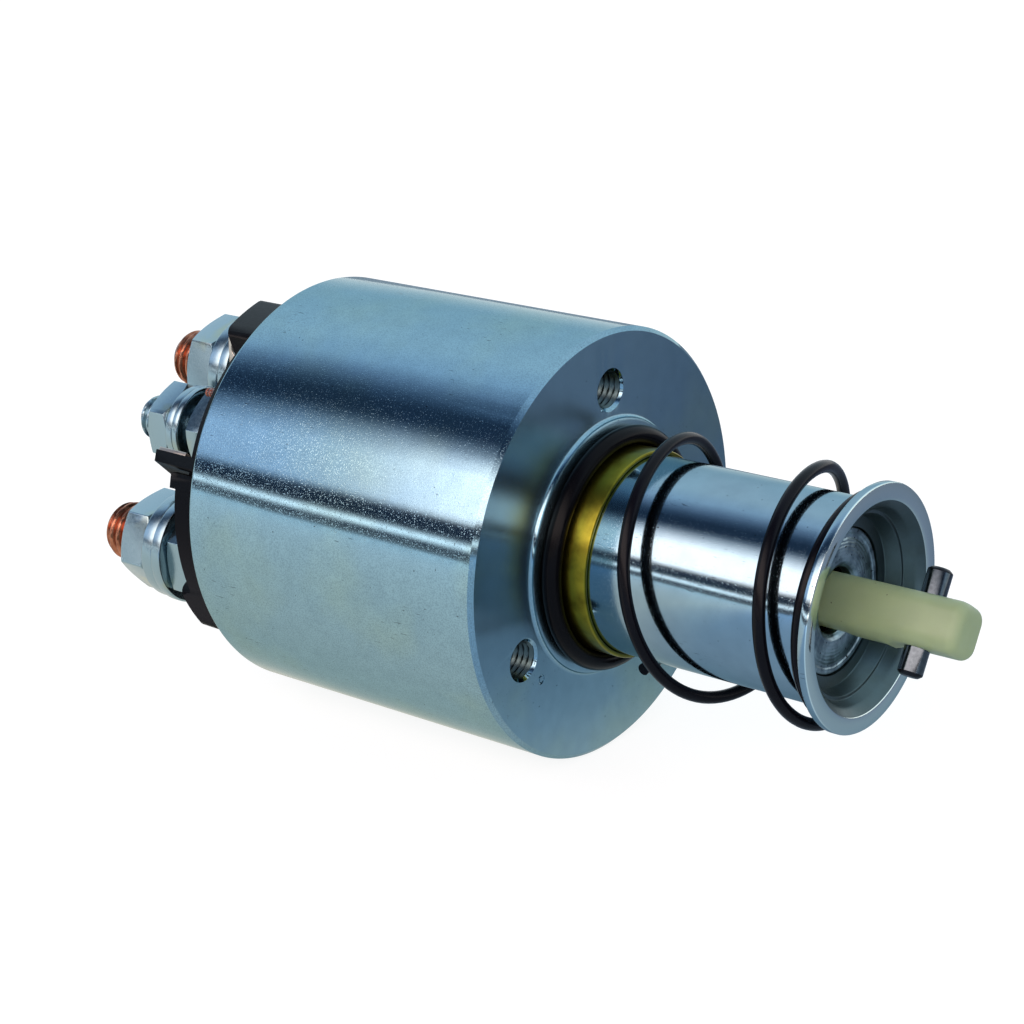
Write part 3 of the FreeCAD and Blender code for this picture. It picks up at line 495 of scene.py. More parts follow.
@made_once
def zinc_plunger():
    """Zinc over a ground plunger: smoother, so its highlight is crisp, with a painted reflection that
    lightens its front rim.
    """
    made, tree, place = finish(
        "zinc plated ground steel", Metallic=1.0, Specular_Tint=ZINC_EDGE,
    )
    colour, cloud, normal = zinc_layers(
        tree, place, colours().plunger, colours().zinc, 0.16, 0.006,
    )
    rim = far_point("plunger")[0] * MM
    # Painted reflection: the flange's front face is lightened towards a pale grey-green.
    rim_reflection = spread(tree, parts_of(tree, place)["X"], rim - 0.2 * MM, rim - 0.1 * MM, most=0.95)
    colour = mixed(tree, rim_reflection, colour, paint("#E2EDE8"))
    rough = spread(tree, cloud, 0.0, 1.0, 0.08, 0.12)
    return wired(made, Base_Color=colour, Roughness=rough, Normal=normal)


@made_once
def zinc_fastener():
    """Barrel plated zinc on nuts and washers: light, soft edged, yellow where the bloom is thick."""
    made, tree, place = finish("zinc plated fasteners", Metallic=1.0, Roughness=0.22)
    bloom = spread(tree, noise(tree, place, 5, 2.0), 0.6, 0.75, most=0.6)
    colour = mixed(tree, bloom, opaque(colours().fastener), opaque(colours().fastener_tint))
    mottle = noise(tree, place, 0.45, 3.0)
    rough = spread(tree, mottle, 0.0, 1.0, 0.14, 0.32)
    return wired(made, Base_Color=colour, Roughness=rough, Normal=bump(tree, mottle, 0.006))


@made_once
def rough_turned_disc():
    """Coarsely turned steel of the disc in the plunger: open rings, glints and black specks."""
    made, tree, place = finish("coarse turned steel", Metallic=1.0, Roughness=0.3, Anisotropic=0.4)
    tone = spread(tree, noise(tree, place, 1.6, 5.0), 0.4, 0.66)
    colour = mixed(tree, tone, paint("#A3B8BF"), paint("#67777F"))
    speck = noise(tree, place, 0.45, 2.0)
    colour = mixed(tree, spread(tree, speck, 0.66, 0.70), colour, paint("#15181A"))
    rings = bump(tree, turned_rings(tree, place, 0.42, 2.5, 3.0, 0.6), 0.02)
    around = add(tree, "Tangent", direction_type="RADIAL", axis="X").outputs[0]
    normal = bump(tree, speck, 0.02, Normal=rings)
    return wired(made, Base_Color=colour, Normal=normal, Tangent=around)


@made_once
def brass():
    """Drawn brass sleeve: warm yellow, brushed round, with darker tarnish."""
    made, tree, place = finish("drawn brass", Metallic=1.0, Roughness=0.28)
    tarnish = spread(tree, noise(tree, place, 2.2, 5.0), 0.45, 0.75, most=0.7)
    colour = mixed(tree, tarnish, opaque(colours().brass), paint("#4A4214"))
    lines = drawn_out(tree, place, (5200.0, 500.0, 500.0), 2.0)
    return wired(made, Base_Color=colour, Normal=bump(tree, lines, 0.004))


@made_once
def copper():
    """Rolled copper thread: orange crests, brown oxide in the roots."""
    made, tree, place = finish("rolled copper", Metallic=1.0, Roughness=0.27)
    oxide = noise(tree, place, 1.1, 4.0)
    dark = spread(tree, oxide, 0.42, 0.74, most=0.75)
    colour = mixed(tree, dark, opaque(colours().copper), paint("#5A2C20"))
    return wired(made, Base_Color=colour, Normal=bump(tree, oxide, 0.01))


@made_once
def blackened_steel():
    """Heat-blackened end of the pin."""
    made, tree, place = finish("blackened steel", Metallic=0.9, Roughness=0.35)
    tone = noise(tree, place, 0.6, 3.0)
    return wired(made, Base_Color=mixed(tree, tone, paint("#16161A"), paint("#2B2B30")))


@made_once
def nylon():
    """Natural moulded nylon: waxy, light goes into it, a little grease and grit on it."""
    made, tree, place = finish(
        "natural nylon", Roughness=0.38, Subsurface_Weight=0.35, Subsurface_Scale=0.0016,
        Subsurface_Radius=(1.0, 0.9, 0.45), Specular_IOR_Level=0.45,
    )
    cloud = noise(tree, place, 4, 3.0)
    colour = mixed(tree, cloud, opaque(colours().nylon), paint("#7F8F6C"))
    grit = spread(tree, noise(tree, place, 0.55, 1.0), 0.775, 0.80)
    colour = mixed(tree, grit, colour, paint("#4A3C22"))
    return wired(made, Base_Color=colour, Normal=bump(tree, noise(tree, place, 1.3, 4.0), 0.02))


@made_once
def rubber():
    """Nitrile seal wiped with oil: black with a soft broad gloss."""
    made, tree, place = finish("oiled nitrile rubber", Specular_IOR_Level=0.08)
    film = noise(tree, place, 2.5, 3.0)
    colour = mixed(tree, film, opaque(colours().rubber), paint("#08070B"))
    return wired(made, Base_Color=colour, Roughness=spread(tree, film, 0.0, 1.0, 0.16, 0.32))


@made_once
def spring_steel():
    """Phosphated and oiled spring wire: near black with a violet cast and drawn lines."""
    made, tree, place = finish("oiled spring wire", Specular_IOR_Level=0.11)
    film = noise(tree, place, 3, 3.0)
    colour = mixed(tree, film, opaque(colours().spring), paint("#0B0A11"))
    rough = spread(tree, film, 0.0, 1.0, 0.16, 0.28)
    normal = bump(tree, noise(tree, place, 0.3, 1.0), 0.004)
    return wired(made, Base_Color=colour, Roughness=rough, Normal=normal)


@made_once
def cap_plastic():
    """Glass-filled moulding: black, with the fine grain of its mould."""
    made, tree, place = finish("glass filled moulding", Roughness=0.42, Specular_IOR_Level=0.14)
    dust = spread(tree, noise(tree, place, 0.7, 2.0), 0.7, 0.76, most=0.15)
    colour = mixed(tree, dust, opaque(colours().cap), paint("#4A4E58"))
    normal = bump(tree, noise(tree, place, 0.35, 2.0), 0.01)
    return wired(made, Base_Color=colour, Normal=normal)


def two_tone(name, first, second, metallic, roughness, size_mm, detail, depth_mm):
    """Finish mottled between two colours, with a relief where the mottle is."""
    made, tree, place = finish(name, Metallic=metallic, Roughness=roughness)
    mottle = noise(tree, place, size_mm, detail)
    return wired(
        made, Base_Color=mixed(tree, mottle, first, second), Normal=bump(tree, mottle, depth_mm),
    )


@made_once
def pin_steel():
    """Ground and polished dowel: mirror bright along its length with faint grinding lines."""
    return two_tone(
        "ground steel", opaque(colours().pin), paint("#454B50"), 1.0, 0.15, 0.35, 2.0, 0.0015,
    )


@made_once
def tinned_steel():
    """Dipped tin on the straps: pale and softly wavy."""
    return two_tone(
        "dipped tin", opaque(colours().tin), paint("#A79F98"), 0.9, 0.34, 1.8, 3.0, 0.03,
    )


@made_once
def recess_shade_steel():
    """Inside of the plunger's mouth and of the can's tapped holes: darker grey steel, a painted shade
    of these recesses.
    """
    made, tree, place = finish("steel with painted recess shade", Metallic=1.0, Roughness=0.34)
    colour = mixed(tree, noise(tree, place, 3, 4.0), paint("#5C6D72"), paint("#49534F"))
    normal = bump(tree, noise(tree, place, 0.4, 2.0), 0.006)
    return wired(made, Base_Color=colour, Normal=normal)


def plain_finish(name, code, darker, metallic, roughness, grain_mm, depth_mm):
    """Finish of an inner part, mottled between two colours with a fine grain."""
    return two_tone(
        name, paint(code), paint(darker), metallic, roughness, grain_mm, 3.0, depth_mm,
    )


def wound_finish(name, code, darker, wire_mm):
    """Enamelled wire laid side by side: ridges one wire apart along the bobbin."""
    made, tree, place = finish(name, Roughness=0.25, Coat_Weight=0.4)
    turns = add(tree, "TexWave", {
        "Vector": place, "Scale": WAVE * per_mm(wire_mm), "Distortion": 0.4,
    }, wave_type="BANDS", bands_direction="X").outputs["Fac"]
    colour = mixed(tree, turns, paint(darker), paint(code))
    return wired(made, Base_Color=colour, Normal=bump(tree, turns, wire_mm * 0.3))


# Pieces

FINE = 256
MEDIUM = 128
COARSE = 72


def tapped_hole_cutter(angle):
    """Screw-shaped cutter of one tapped hole with its countersink, at that angle up from +Y."""
    bore, crest, depth, sink = 2.08, 2.5, 6.2, 2.75
    pitch = sizes().tap_pitch / MM
    step = pitch / 8
    y, z = 20 * math.cos(angle), 20 * math.sin(angle)
    count = round(depth / step)
    rings = [(0.2 - place * step, crest) for place in range(count + 3)]
    cutter = turned("hole_cutter", [*rings, (rings[-1][0] - 1.2, 0)], 40, (y, z))

    def place(point):
        across, up = point.y - y * MM, point.z - z * MM
        reach = math.hypot(across, up)
        if reach < 0.5 * bore * MM:
            return point
        along = -point.x / MM
        phase = (along / pitch + math.atan2(up, across) / math.tau) % 1
        thread = bore + (crest - bore) * (1 - abs(2 * phase - 1))
        radius = max(thread, sink - max(along, -0.1)) if along < 1 else thread
        share = radius * MM / reach
        return Vector((point.x, y * MM + across * share, z * MM + up * share))
    move_points(cutter, place)
    return cutter


class SOLENOID_OT_can(bpy.types.Operator):
    """Drawn steel can with its boss, tapped holes, punch marks and rolled rear lip"""
    bl_idname = "solenoid.can"
    bl_label = "Can"

    def execute(self, context):
        chamfer = sizes().face_chamfer / MM
        radius, rear = 27.5, -46.0
        rounding = sizes().rear_round / MM
        bore = 13.13
        boss_height, boss_radius = 0.5, 16.2
        quarter = [
            (1 - math.sin(turn), 1 - math.cos(turn))
            for turn in (math.radians(15 * step) for step in range(7))
        ]
        corner = [(rear + rounding * x, radius - rounding * y) for x, y in quarter]
        boss_foot = [(boss_height * x, boss_radius + boss_height * y) for x, y in quarter]
        outline = [
            (0.6, bore), (0.6, 15.85), (0.53, 16.08), *boss_foot, (0.0, 18.0),
            (0.0, radius - chamfer), (-chamfer, radius), (-15.0, radius), (-30.0, radius),
            *corner, (rear, 26.2), (rear + 0.12, 26.05), (rear + 0.9, 26.05), (rear + 0.9, 26.7),
            (-34.5, 26.7), (-34.5, 24.6), (-7.5, 24.6), (-7.5, bore), (0.6, bore),
        ]
        piece = turned("can", outline, FINE)
        for angle in (90, 210, 330):
            cut(piece, tapped_hole_cutter(math.radians(angle)))
        for y, z, ring, section in ((-13.8, -13.6, 0.5, 0.14), (-1.6, 17.9, 0.12, 0.24)):
            cut(piece, torus("punch_mark", 0, y * MM, z * MM, ring * MM, section * MM, 24, 8))
        soften(piece, 0.06 * MM, segments=2, angle=40)
        smooth(piece, 35)
        put(piece, zinc_can(), "can", "zinc_steel", "housing")
        piece.data.materials.append(zinc_face())
        piece.data.materials.append(recess_shade_steel())
        for face in piece.data.polygons:
            middle_x = face.center.x / MM
            reach = math.hypot(face.center.y, face.center.z) / MM
            if face.normal.x > 0.9 and -0.01 < middle_x < 0.7 and reach < radius - chamfer + 0.1:
                face.material_index = 1
            # Faces deeper than 0.35 mm in the tapped holes get the darker steel: painted shade inside
            # the holes.
            if -7.45 < middle_x < -0.35 and 17.0 < reach < 23.0:
                face.material_index = 2
        return {"FINISHED"}


class SOLENOID_OT_sleeve_and_seal(bpy.types.Operator):
    """Brass guide sleeve and the rubber ring round its foot"""
    bl_idname = "solenoid.sleeve_and_seal"
    bl_label = "Sleeve and seal"

    def execute(self, context):
        sleeve = turned("sleeve", [
            (5.85, 12.68), (5.85, 12.95), (5.78, 13.06), (5.66, 13.1), (0.0, 13.1), (-33.0, 13.1),
            (-33.0, 12.55), (5.70, 12.55), (5.80, 12.59), (5.85, 12.68),
        ], FINE)
        smooth(sleeve, 40)
        put(sleeve, brass(), "can", "brass", "guide_sleeve")
        section = sizes().seal_section / 2
        low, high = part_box("front_seal")
        seal = torus(
            "seal_ring", (low.x + high.x) / 2, 0, 0, high.y - section, section, 160, 28,
        )
        flash = 0.05 * MM

        def line(point):
            """Thin moulding line round the outside."""
            reach = math.hypot(point.y, point.z)
            depth = reach - (high.y - section * 0.04)
            share = 1 + (flash / reach if depth > 0 else 0)
            return Vector((point.x, point.y * share, point.z * share))
        move_points(seal, line)
        smooth(seal, 60)
        put(seal, rubber(), "can", "rubber", "front_seal")
        return {"FINISHED"}


class SOLENOID_OT_plunger(bpy.types.Operator):
    """Plunger with its spring groove, flange and stepped mouth, and the disc staked into it"""
    bl_idname = "solenoid.plunger"
    bl_label = "Plunger and disc"

    def execute(self, context):
        outer = [
            (-10.0, 11.3), (-9.5, 12.0), (-8.8, 12.5), (10.0, 12.5), (33.6, 12.5), (33.75, 12.42),
            (34.0, 12.3), (34.4, 12.3), (34.6, 12.52), (34.8, 12.52), (35.0, 12.3), (35.9, 12.3),
            (36.18, 12.42), (36.3, 12.7), (36.3, 14.7), (36.38, 14.9), (36.55, 15.0),
            (37.3, 15.0), (37.45, 14.92), (37.5, 14.78),
        ]
        mouth = [
            (37.5, 13.05), (37.42, 12.88), (37.2, 12.6), (36.8, 12.1), (36.4, 11.75),
            (35.3, 11.4), (35.2, 11.3), (35.2, 10.95), (35.1, 10.85), (33.35, 10.5), (33.2, 10.4),
            (33.2, 8.96), (31.2, 8.93), (31.2, 7.8), (7.0, 7.8), (7.0, 0),
        ]
        piece = turned("plunger_body", [*outer, *mouth], FINE)
        smooth(piece, 35)
        put(piece, zinc_plunger(), "plunger", "bare_steel", "plunger")
        piece.data.materials.append(recess_shade_steel())
        for face in piece.data.polygons:
            reach = math.hypot(face.center.y, face.center.z) / MM
            # Faces that look into the mouth get the darker steel: painted shade inside the mouth.
            if reach < 12.9 and 7.5 < face.center.x / MM < 37.4 and self.inside(face):
                face.material_index = 1
        disc = turned("staked_disc", [
            (31.3, 4.1), (31.3, 8.8), (32.8, 8.86), (32.98, 8.75), (33.0, 8.6), (33.0, 8.1),
            (32.93, 8.0), (32.93, 7.6), (33.0, 7.5), (33.0, 4.75), (32.95, 4.6), (32.5, 4.1),
            (31.3, 4.1),
        ], MEDIUM)
        smooth(disc, 35)
        put(disc, rough_turned_disc(), "plunger", "bare_steel", "retaining_washer")
        return {"FINISHED"}

    @staticmethod
    def inside(face):
        """Whether a face of the plunger looks into its mouth."""
        reach = Vector((0, face.center.y, face.center.z))
        return face.normal.dot(reach.normalized()) < -0.2 or reach.length / MM < 12.2


LEAN = math.radians(30)
ALONG_PIN = Vector((0, math.sin(LEAN), math.cos(LEAN)))
ACROSS_PIN = Vector((0, math.cos(LEAN), -math.sin(LEAN)))
# Where the pin's axis crosses the object's axis, in millimetres
PIN_STATION = 44.3


def leaned(x, across, up):
    """Point given along X, across the pin and along the pin, in millimetres."""
    return (Vector((x, 0, 0)) + ACROSS_PIN * across + ALONG_PIN * up) * MM


def stand_on_pin(piece):
    """Turns a piece made along X onto the pin's axis."""
    foot = Vector((PIN_STATION * MM, 0, 0))
    move_points(piece, lambda point: foot + (
        ALONG_PIN * point.x + ACROSS_PIN * point.y + Vector((1, 0, 0)) * point.z
    ))
    take(piece)
    bpy.ops.object.mode_set(mode="EDIT")
    bpy.ops.mesh.select_all(action="SELECT")
    bpy.ops.mesh.normals_make_consistent(inside=False)
    bpy.ops.object.mode_set(mode="OBJECT")


class SOLENOID_OT_link_and_pin(bpy.types.Operator):
    """Moulded link with its flash and collar, and the cross pin through it"""
    bl_idname = "solenoid.link_and_pin"
    bl_label = "Link and pin"

    def execute(self, context):
        fresh()
        bpy.ops.mesh.primitive_cube_add(size=1)
        piece = bpy.context.object
        piece.name = "nylon_link"
        near, tip = 9.0, 50.0
        move_points(piece, lambda point: Vector((
            near + (point.x + 0.5) * (tip - near), point.y * 6.6, point.z * 6.3,
        )))
        select_edges(piece, lambda end, other: abs(end.x - other.x) > 1)
        bpy.ops.mesh.bevel(offset=1.8, segments=6)
        select_edges(piece, lambda end, other: min(end.x, other.x) > tip - 0.01)
        bpy.ops.mesh.bevel(offset=1.3, segments=6)
        bpy.ops.mesh.select_all(action="SELECT")
        bpy.ops.mesh.bisect(plane_co=(0, 0, 0), plane_no=(0, 1, 0))
        for station in (20, 30, 34, 36, 38, 40, 41, 42, 46.5, 47.5, 48.5):
            bpy.ops.mesh.select_all(action="SELECT")
            bpy.ops.mesh.bisect(plane_co=(station, 0, 0), plane_no=(1, 0, 0))
        bpy.ops.object.mode_set(mode="OBJECT")

        def mould(point):
            """A parting line that stands out a little, and a thicker eye round the pin."""
            eye = 0.12 * math.exp(-((point.x - PIN_STATION) / 4.2) ** 2)
            across, up = point.y * (1 + eye / 3.3), point.z
            if abs(point.y) < 0.02 and abs(point.z) > 2.9:
                up += math.copysign(0.05, point.z)
            if 34.5 < point.x < 41.5 and point.z < -2.9 and abs(point.y) < 1.6:
                up -= 0.28 + 0.1 * math.sin(point.x * 3.1)
            return leaned(point.x, across, up)
        move_points(piece, mould)
        collar = turned("collar", [
            (7.05, 2.0), (7.05, 7.2), (7.25, 7.4), (8.85, 7.4), (9.05, 7.2), (9.05, 2.0),
        ], COARSE)
        cut(piece, collar, "UNION")
        eye = turned("pin_hole", [(-5.0, 1.53), (5.0, 1.53)], 48)
        stand_on_pin(eye)
        cut(piece, eye)
        soften(piece, 0.1 * MM, segments=2, angle=50)
        smooth(piece, 35)
        put(piece, nylon(), "link", "nylon", "link")
        pin = turned("dowel", [
            (-6.5, 0.9), (-6.47, 1.05), (-6.15, 1.46), (-6.0, 1.5), (6.0, 1.5), (6.15, 1.46),
            (6.47, 1.05), (6.5, 0.9),
        ], 64)
        stand_on_pin(pin)
        smooth(pin, 40)
        put(pin, pin_steel(), "link", "pin_steel", "cross_pin")
        pin.data.materials.append(blackened_steel())
        for face in pin.data.polygons:
            if abs(face.center.dot(ALONG_PIN)) > 5.95 * MM:
                face.material_index = 1
        return {"FINISHED"}


class SOLENOID_OT_return_spring(bpy.types.Operator):
    """Return spring, an open coil that closes into the groove behind the flange"""
    bl_idname = "solenoid.return_spring"
    bl_label = "Return spring"

    # Turn in degrees and share of the way from the free end to the groove
    ROUTE = (
        (-90, 0.0), (49, 0.08), (168, 0.235), (250, 0.41), (440, 0.77), (529, 0.86), (604, 0.945),
        (700, 0.985), (780, 1.0), (960, 1.0),
    )
    # Degrees at which the coil starts to close into the groove, and that it takes to close
    CLOSES_FROM, CLOSES_OVER = 560, 140
    # The curve's own points stand this much further out than the curve
    STAND_OUT = 1.011
    # Share of its length that the spring keeps with the plunger right in
    SQUEEZED = 0.555

    def execute(self, context):
        wire = sizes().spring_wire
        free, tight = 5.6 * MM, 35.375 * MM
        open_radius, tight_radius = 15.15 * MM, 13.2 * MM
        curve = bpy.data.curves.new("coil_spring", "CURVE")
        curve.dimensions = "3D"
        curve.bevel_depth = wire / 2
        curve.bevel_resolution = 8
        curve.resolution_u = 4
        curve.use_fill_caps = True
        turns = range(self.ROUTE[0][0], self.ROUTE[-1][0] + 1, 15)
        spline = curve.splines.new("NURBS")
        spline.points.add(len(turns) - 1)
        for point, turn in zip(spline.points, turns):
            closing = min(max((turn - self.CLOSES_FROM) / self.CLOSES_OVER, 0), 1)
            closing = closing * closing * (3 - 2 * closing)
            radius = (open_radius + closing * (tight_radius - open_radius)) * self.STAND_OUT
            angle = math.radians(turn)
            station = free + self.share(turn) * (tight - free)
            point.co = (station, radius * math.cos(angle), radius * math.sin(angle), 1)
        spline.order_u = 4
        spline.use_endpoint_u = True
        piece = bpy.data.objects.new("coil_spring", curve)
        bpy.context.scene.collection.objects.link(piece)
        take(piece)
        bpy.ops.object.convert(target="MESH")
        piece = bpy.context.object
        smooth(piece, 60)
        put(piece, spring_steel(), "can", "spring_steel", "return_spring")
        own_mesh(piece)
        return {"FINISHED"}

    def share(self, turn):
        """Smooth share of the way at that turn."""
        for (low, near), (high, far) in zip(self.ROUTE, self.ROUTE[1:]):
            if turn <= high:
                return near + (turn - low) / (high - low) * (far - near)
        return 1.0


class SOLENOID_OT_cap(bpy.types.Operator):
    """Moulded terminal cap with softened edges"""
    bl_idname = "solenoid.cap"
    bl_label = "Terminal cap"

    def execute(self, context):
        piece = copy_of_node("terminal_cap", "moulded_cap")
        self.round_lobes(piece)
        soften(piece, 0.22 * MM, segments=2, angle=40)
        smooth(piece, 35)
        put(piece, cap_plastic(), "can", "cap_plastic", "terminal_cap")
        return {"FINISHED"}

    # Where the lobes' outer corners lie round the axis, in degrees
    CORNERS = (103.3, 120.7, 204.3, 221.7)

    def round_lobes(self, piece):
        """Rounds the outer corners of the lobes where they turn to the rim."""
        select_edges(piece, self.at_corner)
        bpy.ops.mesh.bevel(offset=1.0 * MM, segments=4)
        bpy.ops.object.mode_set(mode="OBJECT")

    def at_corner(self, end, other):
        """Whether an edge runs along a lobe's outer corner behind the can."""
        end, other = end / MM, other / MM
        around = math.degrees(math.atan2(end.z, end.y)) % 360
        return (
            any(abs(around - corner) < 0.4 for corner in self.CORNERS)
            and 25.7 < math.hypot(end.y, end.z) < 26.1
            and abs(end.x - other.x) > 0.9 * (end - other).length
            and max(end.x, other.x) < -47
        )


def threaded_stud(name, node, radius, pitch, threads_from, dome):
    """Stud whose thread runs to a rounded tip: rings whose points follow the thread."""
    y, z = middle(node)
    tip, head = near_point(node)[0], far_point(node)[0]
    step = pitch / 10
    count = math.ceil((threads_from - tip) / step)
    stations = [threads_from - place * (threads_from - tip) / count for place in range(count + 1)]
    outline = [(head, radius + 1.5), (head - 1.5, radius + 1.5), (head - 1.5, radius)]
    outline += [(station, radius) for station in stations[:-1]]
    piece = turned(name, [*outline, (tip, radius * 0.5), (tip, 0)], 72, (y, z))
    root = radius - pitch * 0.58

    def place(point):
        across, up = point.y - y * MM, point.z - z * MM
        reach = math.hypot(across, up)
        along = point.x / MM
        if reach < 0.6 * radius * MM or along > threads_from + 0.001:
            return point
        phase = (along / pitch + math.atan2(up, across) / math.tau) % 1
        ridge = min(max((1 - abs(2 * phase - 1)) * 1.5 - 0.15, 0), 1)
        thread = root + (radius - root) * ridge
        beyond = along - tip
        if beyond < dome:
            slope = math.sqrt(max(1 - (1 - beyond / dome) ** 2, 0))
            thread = min(thread, radius - dome + dome * slope + 0.12 * ridge)
        share = max(thread, radius * 0.5) * MM / reach
        return Vector((point.x, y * MM + across * share, z * MM + up * share))
    move_points(piece, place)
    smooth(piece, 50)
    return piece


class SOLENOID_OT_studs(bpy.types.Operator):
    """Two copper main studs and the plated control stud, with rolled threads"""
    bl_idname = "solenoid.studs"
    bl_label = "Studs"

    def execute(self, context):
        for stud, radius, pitch, dome in (
            ("motor", 4.0, sizes().main_pitch, 3.3), ("battery", 4.0, sizes().main_pitch, 2.6),
            ("control", 3.0, sizes().control_pitch, 1.8),
        ):
            piece = threaded_stud(
                f"{stud}_threaded_stud", f"{stud}_stud", radius, pitch / MM, -52.0, dome,
            )
            if stud == "control":
                put(piece, zinc_fastener(), "can", "zinc_fastener", f"{stud}_stud")
            else:
                put(piece, copper(), "can", "copper", f"{stud}_stud")
        return {"FINISHED"}


def hexagon_nut(name, node, flats, bore, turn):
    """Hexagon bar cut by two cones and a bore, where the CAD nut is."""
    y, z = middle(node)
    near, far = near_point(node)[0], far_point(node)[0]
    depth = far - near
    fresh()
    bpy.ops.mesh.primitive_cylinder_add(
        vertices=6, radius=flats / math.sqrt(3) * MM, depth=depth * MM,
        location=((near + far) / 2 * MM, y * MM, z * MM), rotation=(0, math.pi / 2, 0),
    )
    piece = bpy.context.object
    piece.name = name
    bpy.ops.object.transform_apply(location=True, rotation=True, scale=True)
    angle = math.radians(turn)
    first = piece.data.vertices[0].co
    now = math.atan2(first.z - z * MM, first.y - y * MM)
    turning = Matrix.Rotation(angle - now, 4, "X")
    centre = Vector((0, y * MM, z * MM))
    move_points(piece, lambda point: turning @ (point - centre) + centre)
    inner, slope = flats / 2 * 0.95, math.tan(math.radians(30))
    outer = flats / 2 * 1.3
    drop = (outer - inner) * slope
    cone = turned("cone", [
        (far, inner), (far - drop, outer), (near + drop, outer), (near, inner),
    ], 144, (y, z))
    cut(piece, cone, "INTERSECT")
    hole = turned("bore", [
        (far + 0.5, bore + 1.0), (far - 0.5, bore), (near + 0.5, bore), (near - 0.5, bore + 1.0),
    ], 64, (y, z))
    cut(piece, hole)
    soften(piece, sizes().edge, segments=3, angle=20)
    smooth(piece, 35)
    return piece


class SOLENOID_OT_nuts(bpy.types.Operator):
    """Six hexagon nuts with bevelled corners"""
    bl_idname = "solenoid.nuts"
    bl_label = "Nuts"

    def execute(self, context):
        for stud, flats, bore, upper, lower in (
            ("motor", 12.0, 4.15, 20, 54), ("battery", 12.0, 4.15, 14, 36),
            ("control", 10.0, 3.15, 33, 46),
        ):
            for place, turn in (("upper", upper), ("lower", lower)):
                node = f"{stud}_{place}_nut"
                piece = hexagon_nut(f"{stud}_{place}_hexagon", node, flats, bore, turn)
                put(piece, zinc_fastener(), "can", "zinc_fastener", node)
        return {"FINISHED"}


def flat_ring(name, node, bore, segments=96):
    """Washer with its stamped edges rounded, where the CAD washer is."""
    y, z = middle(node)
    low, high = near_point(node), far_point(node)
    radius = (high[1] - low[1]) / 2
    piece = turned(name, [
        (high[0], bore), (high[0], radius), (low[0], radius), (low[0], bore), (high[0], bore),
    ], segments, (y, z))
    soften(piece, min(0.3, (high[0] - low[0]) * 0.3) * MM, segments=4)
    return piece


class SOLENOID_OT_washers(bpy.types.Operator):
    """Flat washers and split spring washers under the upper nuts"""
    bl_idname = "solenoid.washers"
    bl_label = "Washers"

    def execute(self, context):
        for stud, bore in (("motor", 4.15), ("battery", 4.15), ("control", 3.15)):
            flat = flat_ring(f"{stud}_plain_washer", f"{stud}_flat_washer", bore)
            smooth(flat, 35)
            put(flat, zinc_fastener(), "can", "zinc_fastener", f"{stud}_flat_washer")
            node = f"{stud}_spring_washer"
            split = flat_ring(f"{stud}_split_washer", node, bore)
            y, z = middle(node)
            low, high = near_point(node), far_point(node)
            fresh()
            bpy.ops.mesh.primitive_cube_add(size=1)
            gap = bpy.context.object
            reach = (high[1] - low[1]) / 2
            move_points(gap, lambda point: Vector((
                (low[0] + high[0]) / 2 + point.x * 9, y + reach * 0.75 + point.y * reach,
                z + point.z * 0.9 + point.x * 2.4,
            )) * MM)
            cut(split, gap)
            smooth(split, 35)
            put(split, zinc_fastener(), "can", "zinc_fastener", node)
        return {"FINISHED"}


class SOLENOID_OT_straps(bpy.types.Operator):
    """Tinned straps under the motor and control nuts, with softened stamped edges"""
    bl_idname = "solenoid.straps"
    bl_label = "Straps"

    def execute(self, context):
        for stud in ("motor", "control"):
            piece = copy_of_node(f"{stud}_strap", f"{stud}_tinned_strap")
            soften(piece, 0.12 * MM, segments=2, angle=40)
            smooth(piece, 35)
            put(piece, tinned_steel(), "can", "tinned_strap", f"{stud}_strap")
        return {"FINISHED"}


class SOLENOID_OT_inner_parts(bpy.types.Operator):
    """Finishes of the parts that keep their CAD shape inside the can"""
    bl_idname = "solenoid.inner_parts"
    bl_label = "Inner parts"

    def execute(self, context):
        moulding = plain_finish("filled nylon", "#2A2722", "#1B1916", 0.0, 0.5, 0.4, 0.01)
        core = plain_finish("turned core steel", "#6E7072", "#5A5C5E", 1.0, 0.35, 0.3, 0.004)
        contact = plain_finish("stamped copper", "#B8683C", "#8C4527", 1.0, 0.3, 0.7, 0.006)
        sealing = plain_finish("sheet rubber", "#0E0E10", "#191A1C", 0.0, 0.6, 0.5, 0.01)
        thick = wound_finish("thick enamelled wire", "#7E3416", "#3A1408", 1.1)
        thin = wound_finish("thin enamelled wire", "#8A3E1C", "#421A0B", 0.6)
        for finish_of, names in (
            (moulding, ("bobbin", "front_bush", "rear_bush")),
            (core, ("fixed_core", "contact_rod")),
            (contact, ("contact_disc",)),
            (sealing, ("cap_seal",)),
            (thick, ("pull_in_winding", "pull_in_lead")),
            (thin, ("hold_in_winding", "hold_in_lead")),
            (spring_steel(), ("rod_clip",)),
        ):
            for name in names:
                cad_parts[name].data.materials.clear()
                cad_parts[name].data.materials.append(finish_of)
        return {"FINISHED"}


class SOLENOID_OT_inner_springs(bpy.types.Operator):
    """Springs inside, each on the body it leans on"""
    bl_idname = "solenoid.inner_springs"
    bl_label = "Inner springs"

    def execute(self, context):
        for spring, body, joint, travel, still_end in (
            ("meshing_spring", "plunger", "link_slide", 6.5, far_point),
            ("contact_spring", "rod", "disc_slide", 0.7, far_point),
            ("contact_return_spring", "can", "contact_slide", 3.0, near_point),
        ):
            piece = copy_of_node(spring, spring.replace("spring", "coil"))
            smooth(piece, 60)
            put(piece, spring_steel(), body, "spring_steel", spring)
            length = far_point(spring)[0] - near_point(spring)[0]
            still_end(spring)[0] * MM
            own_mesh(piece)
        return {"FINISHED"}


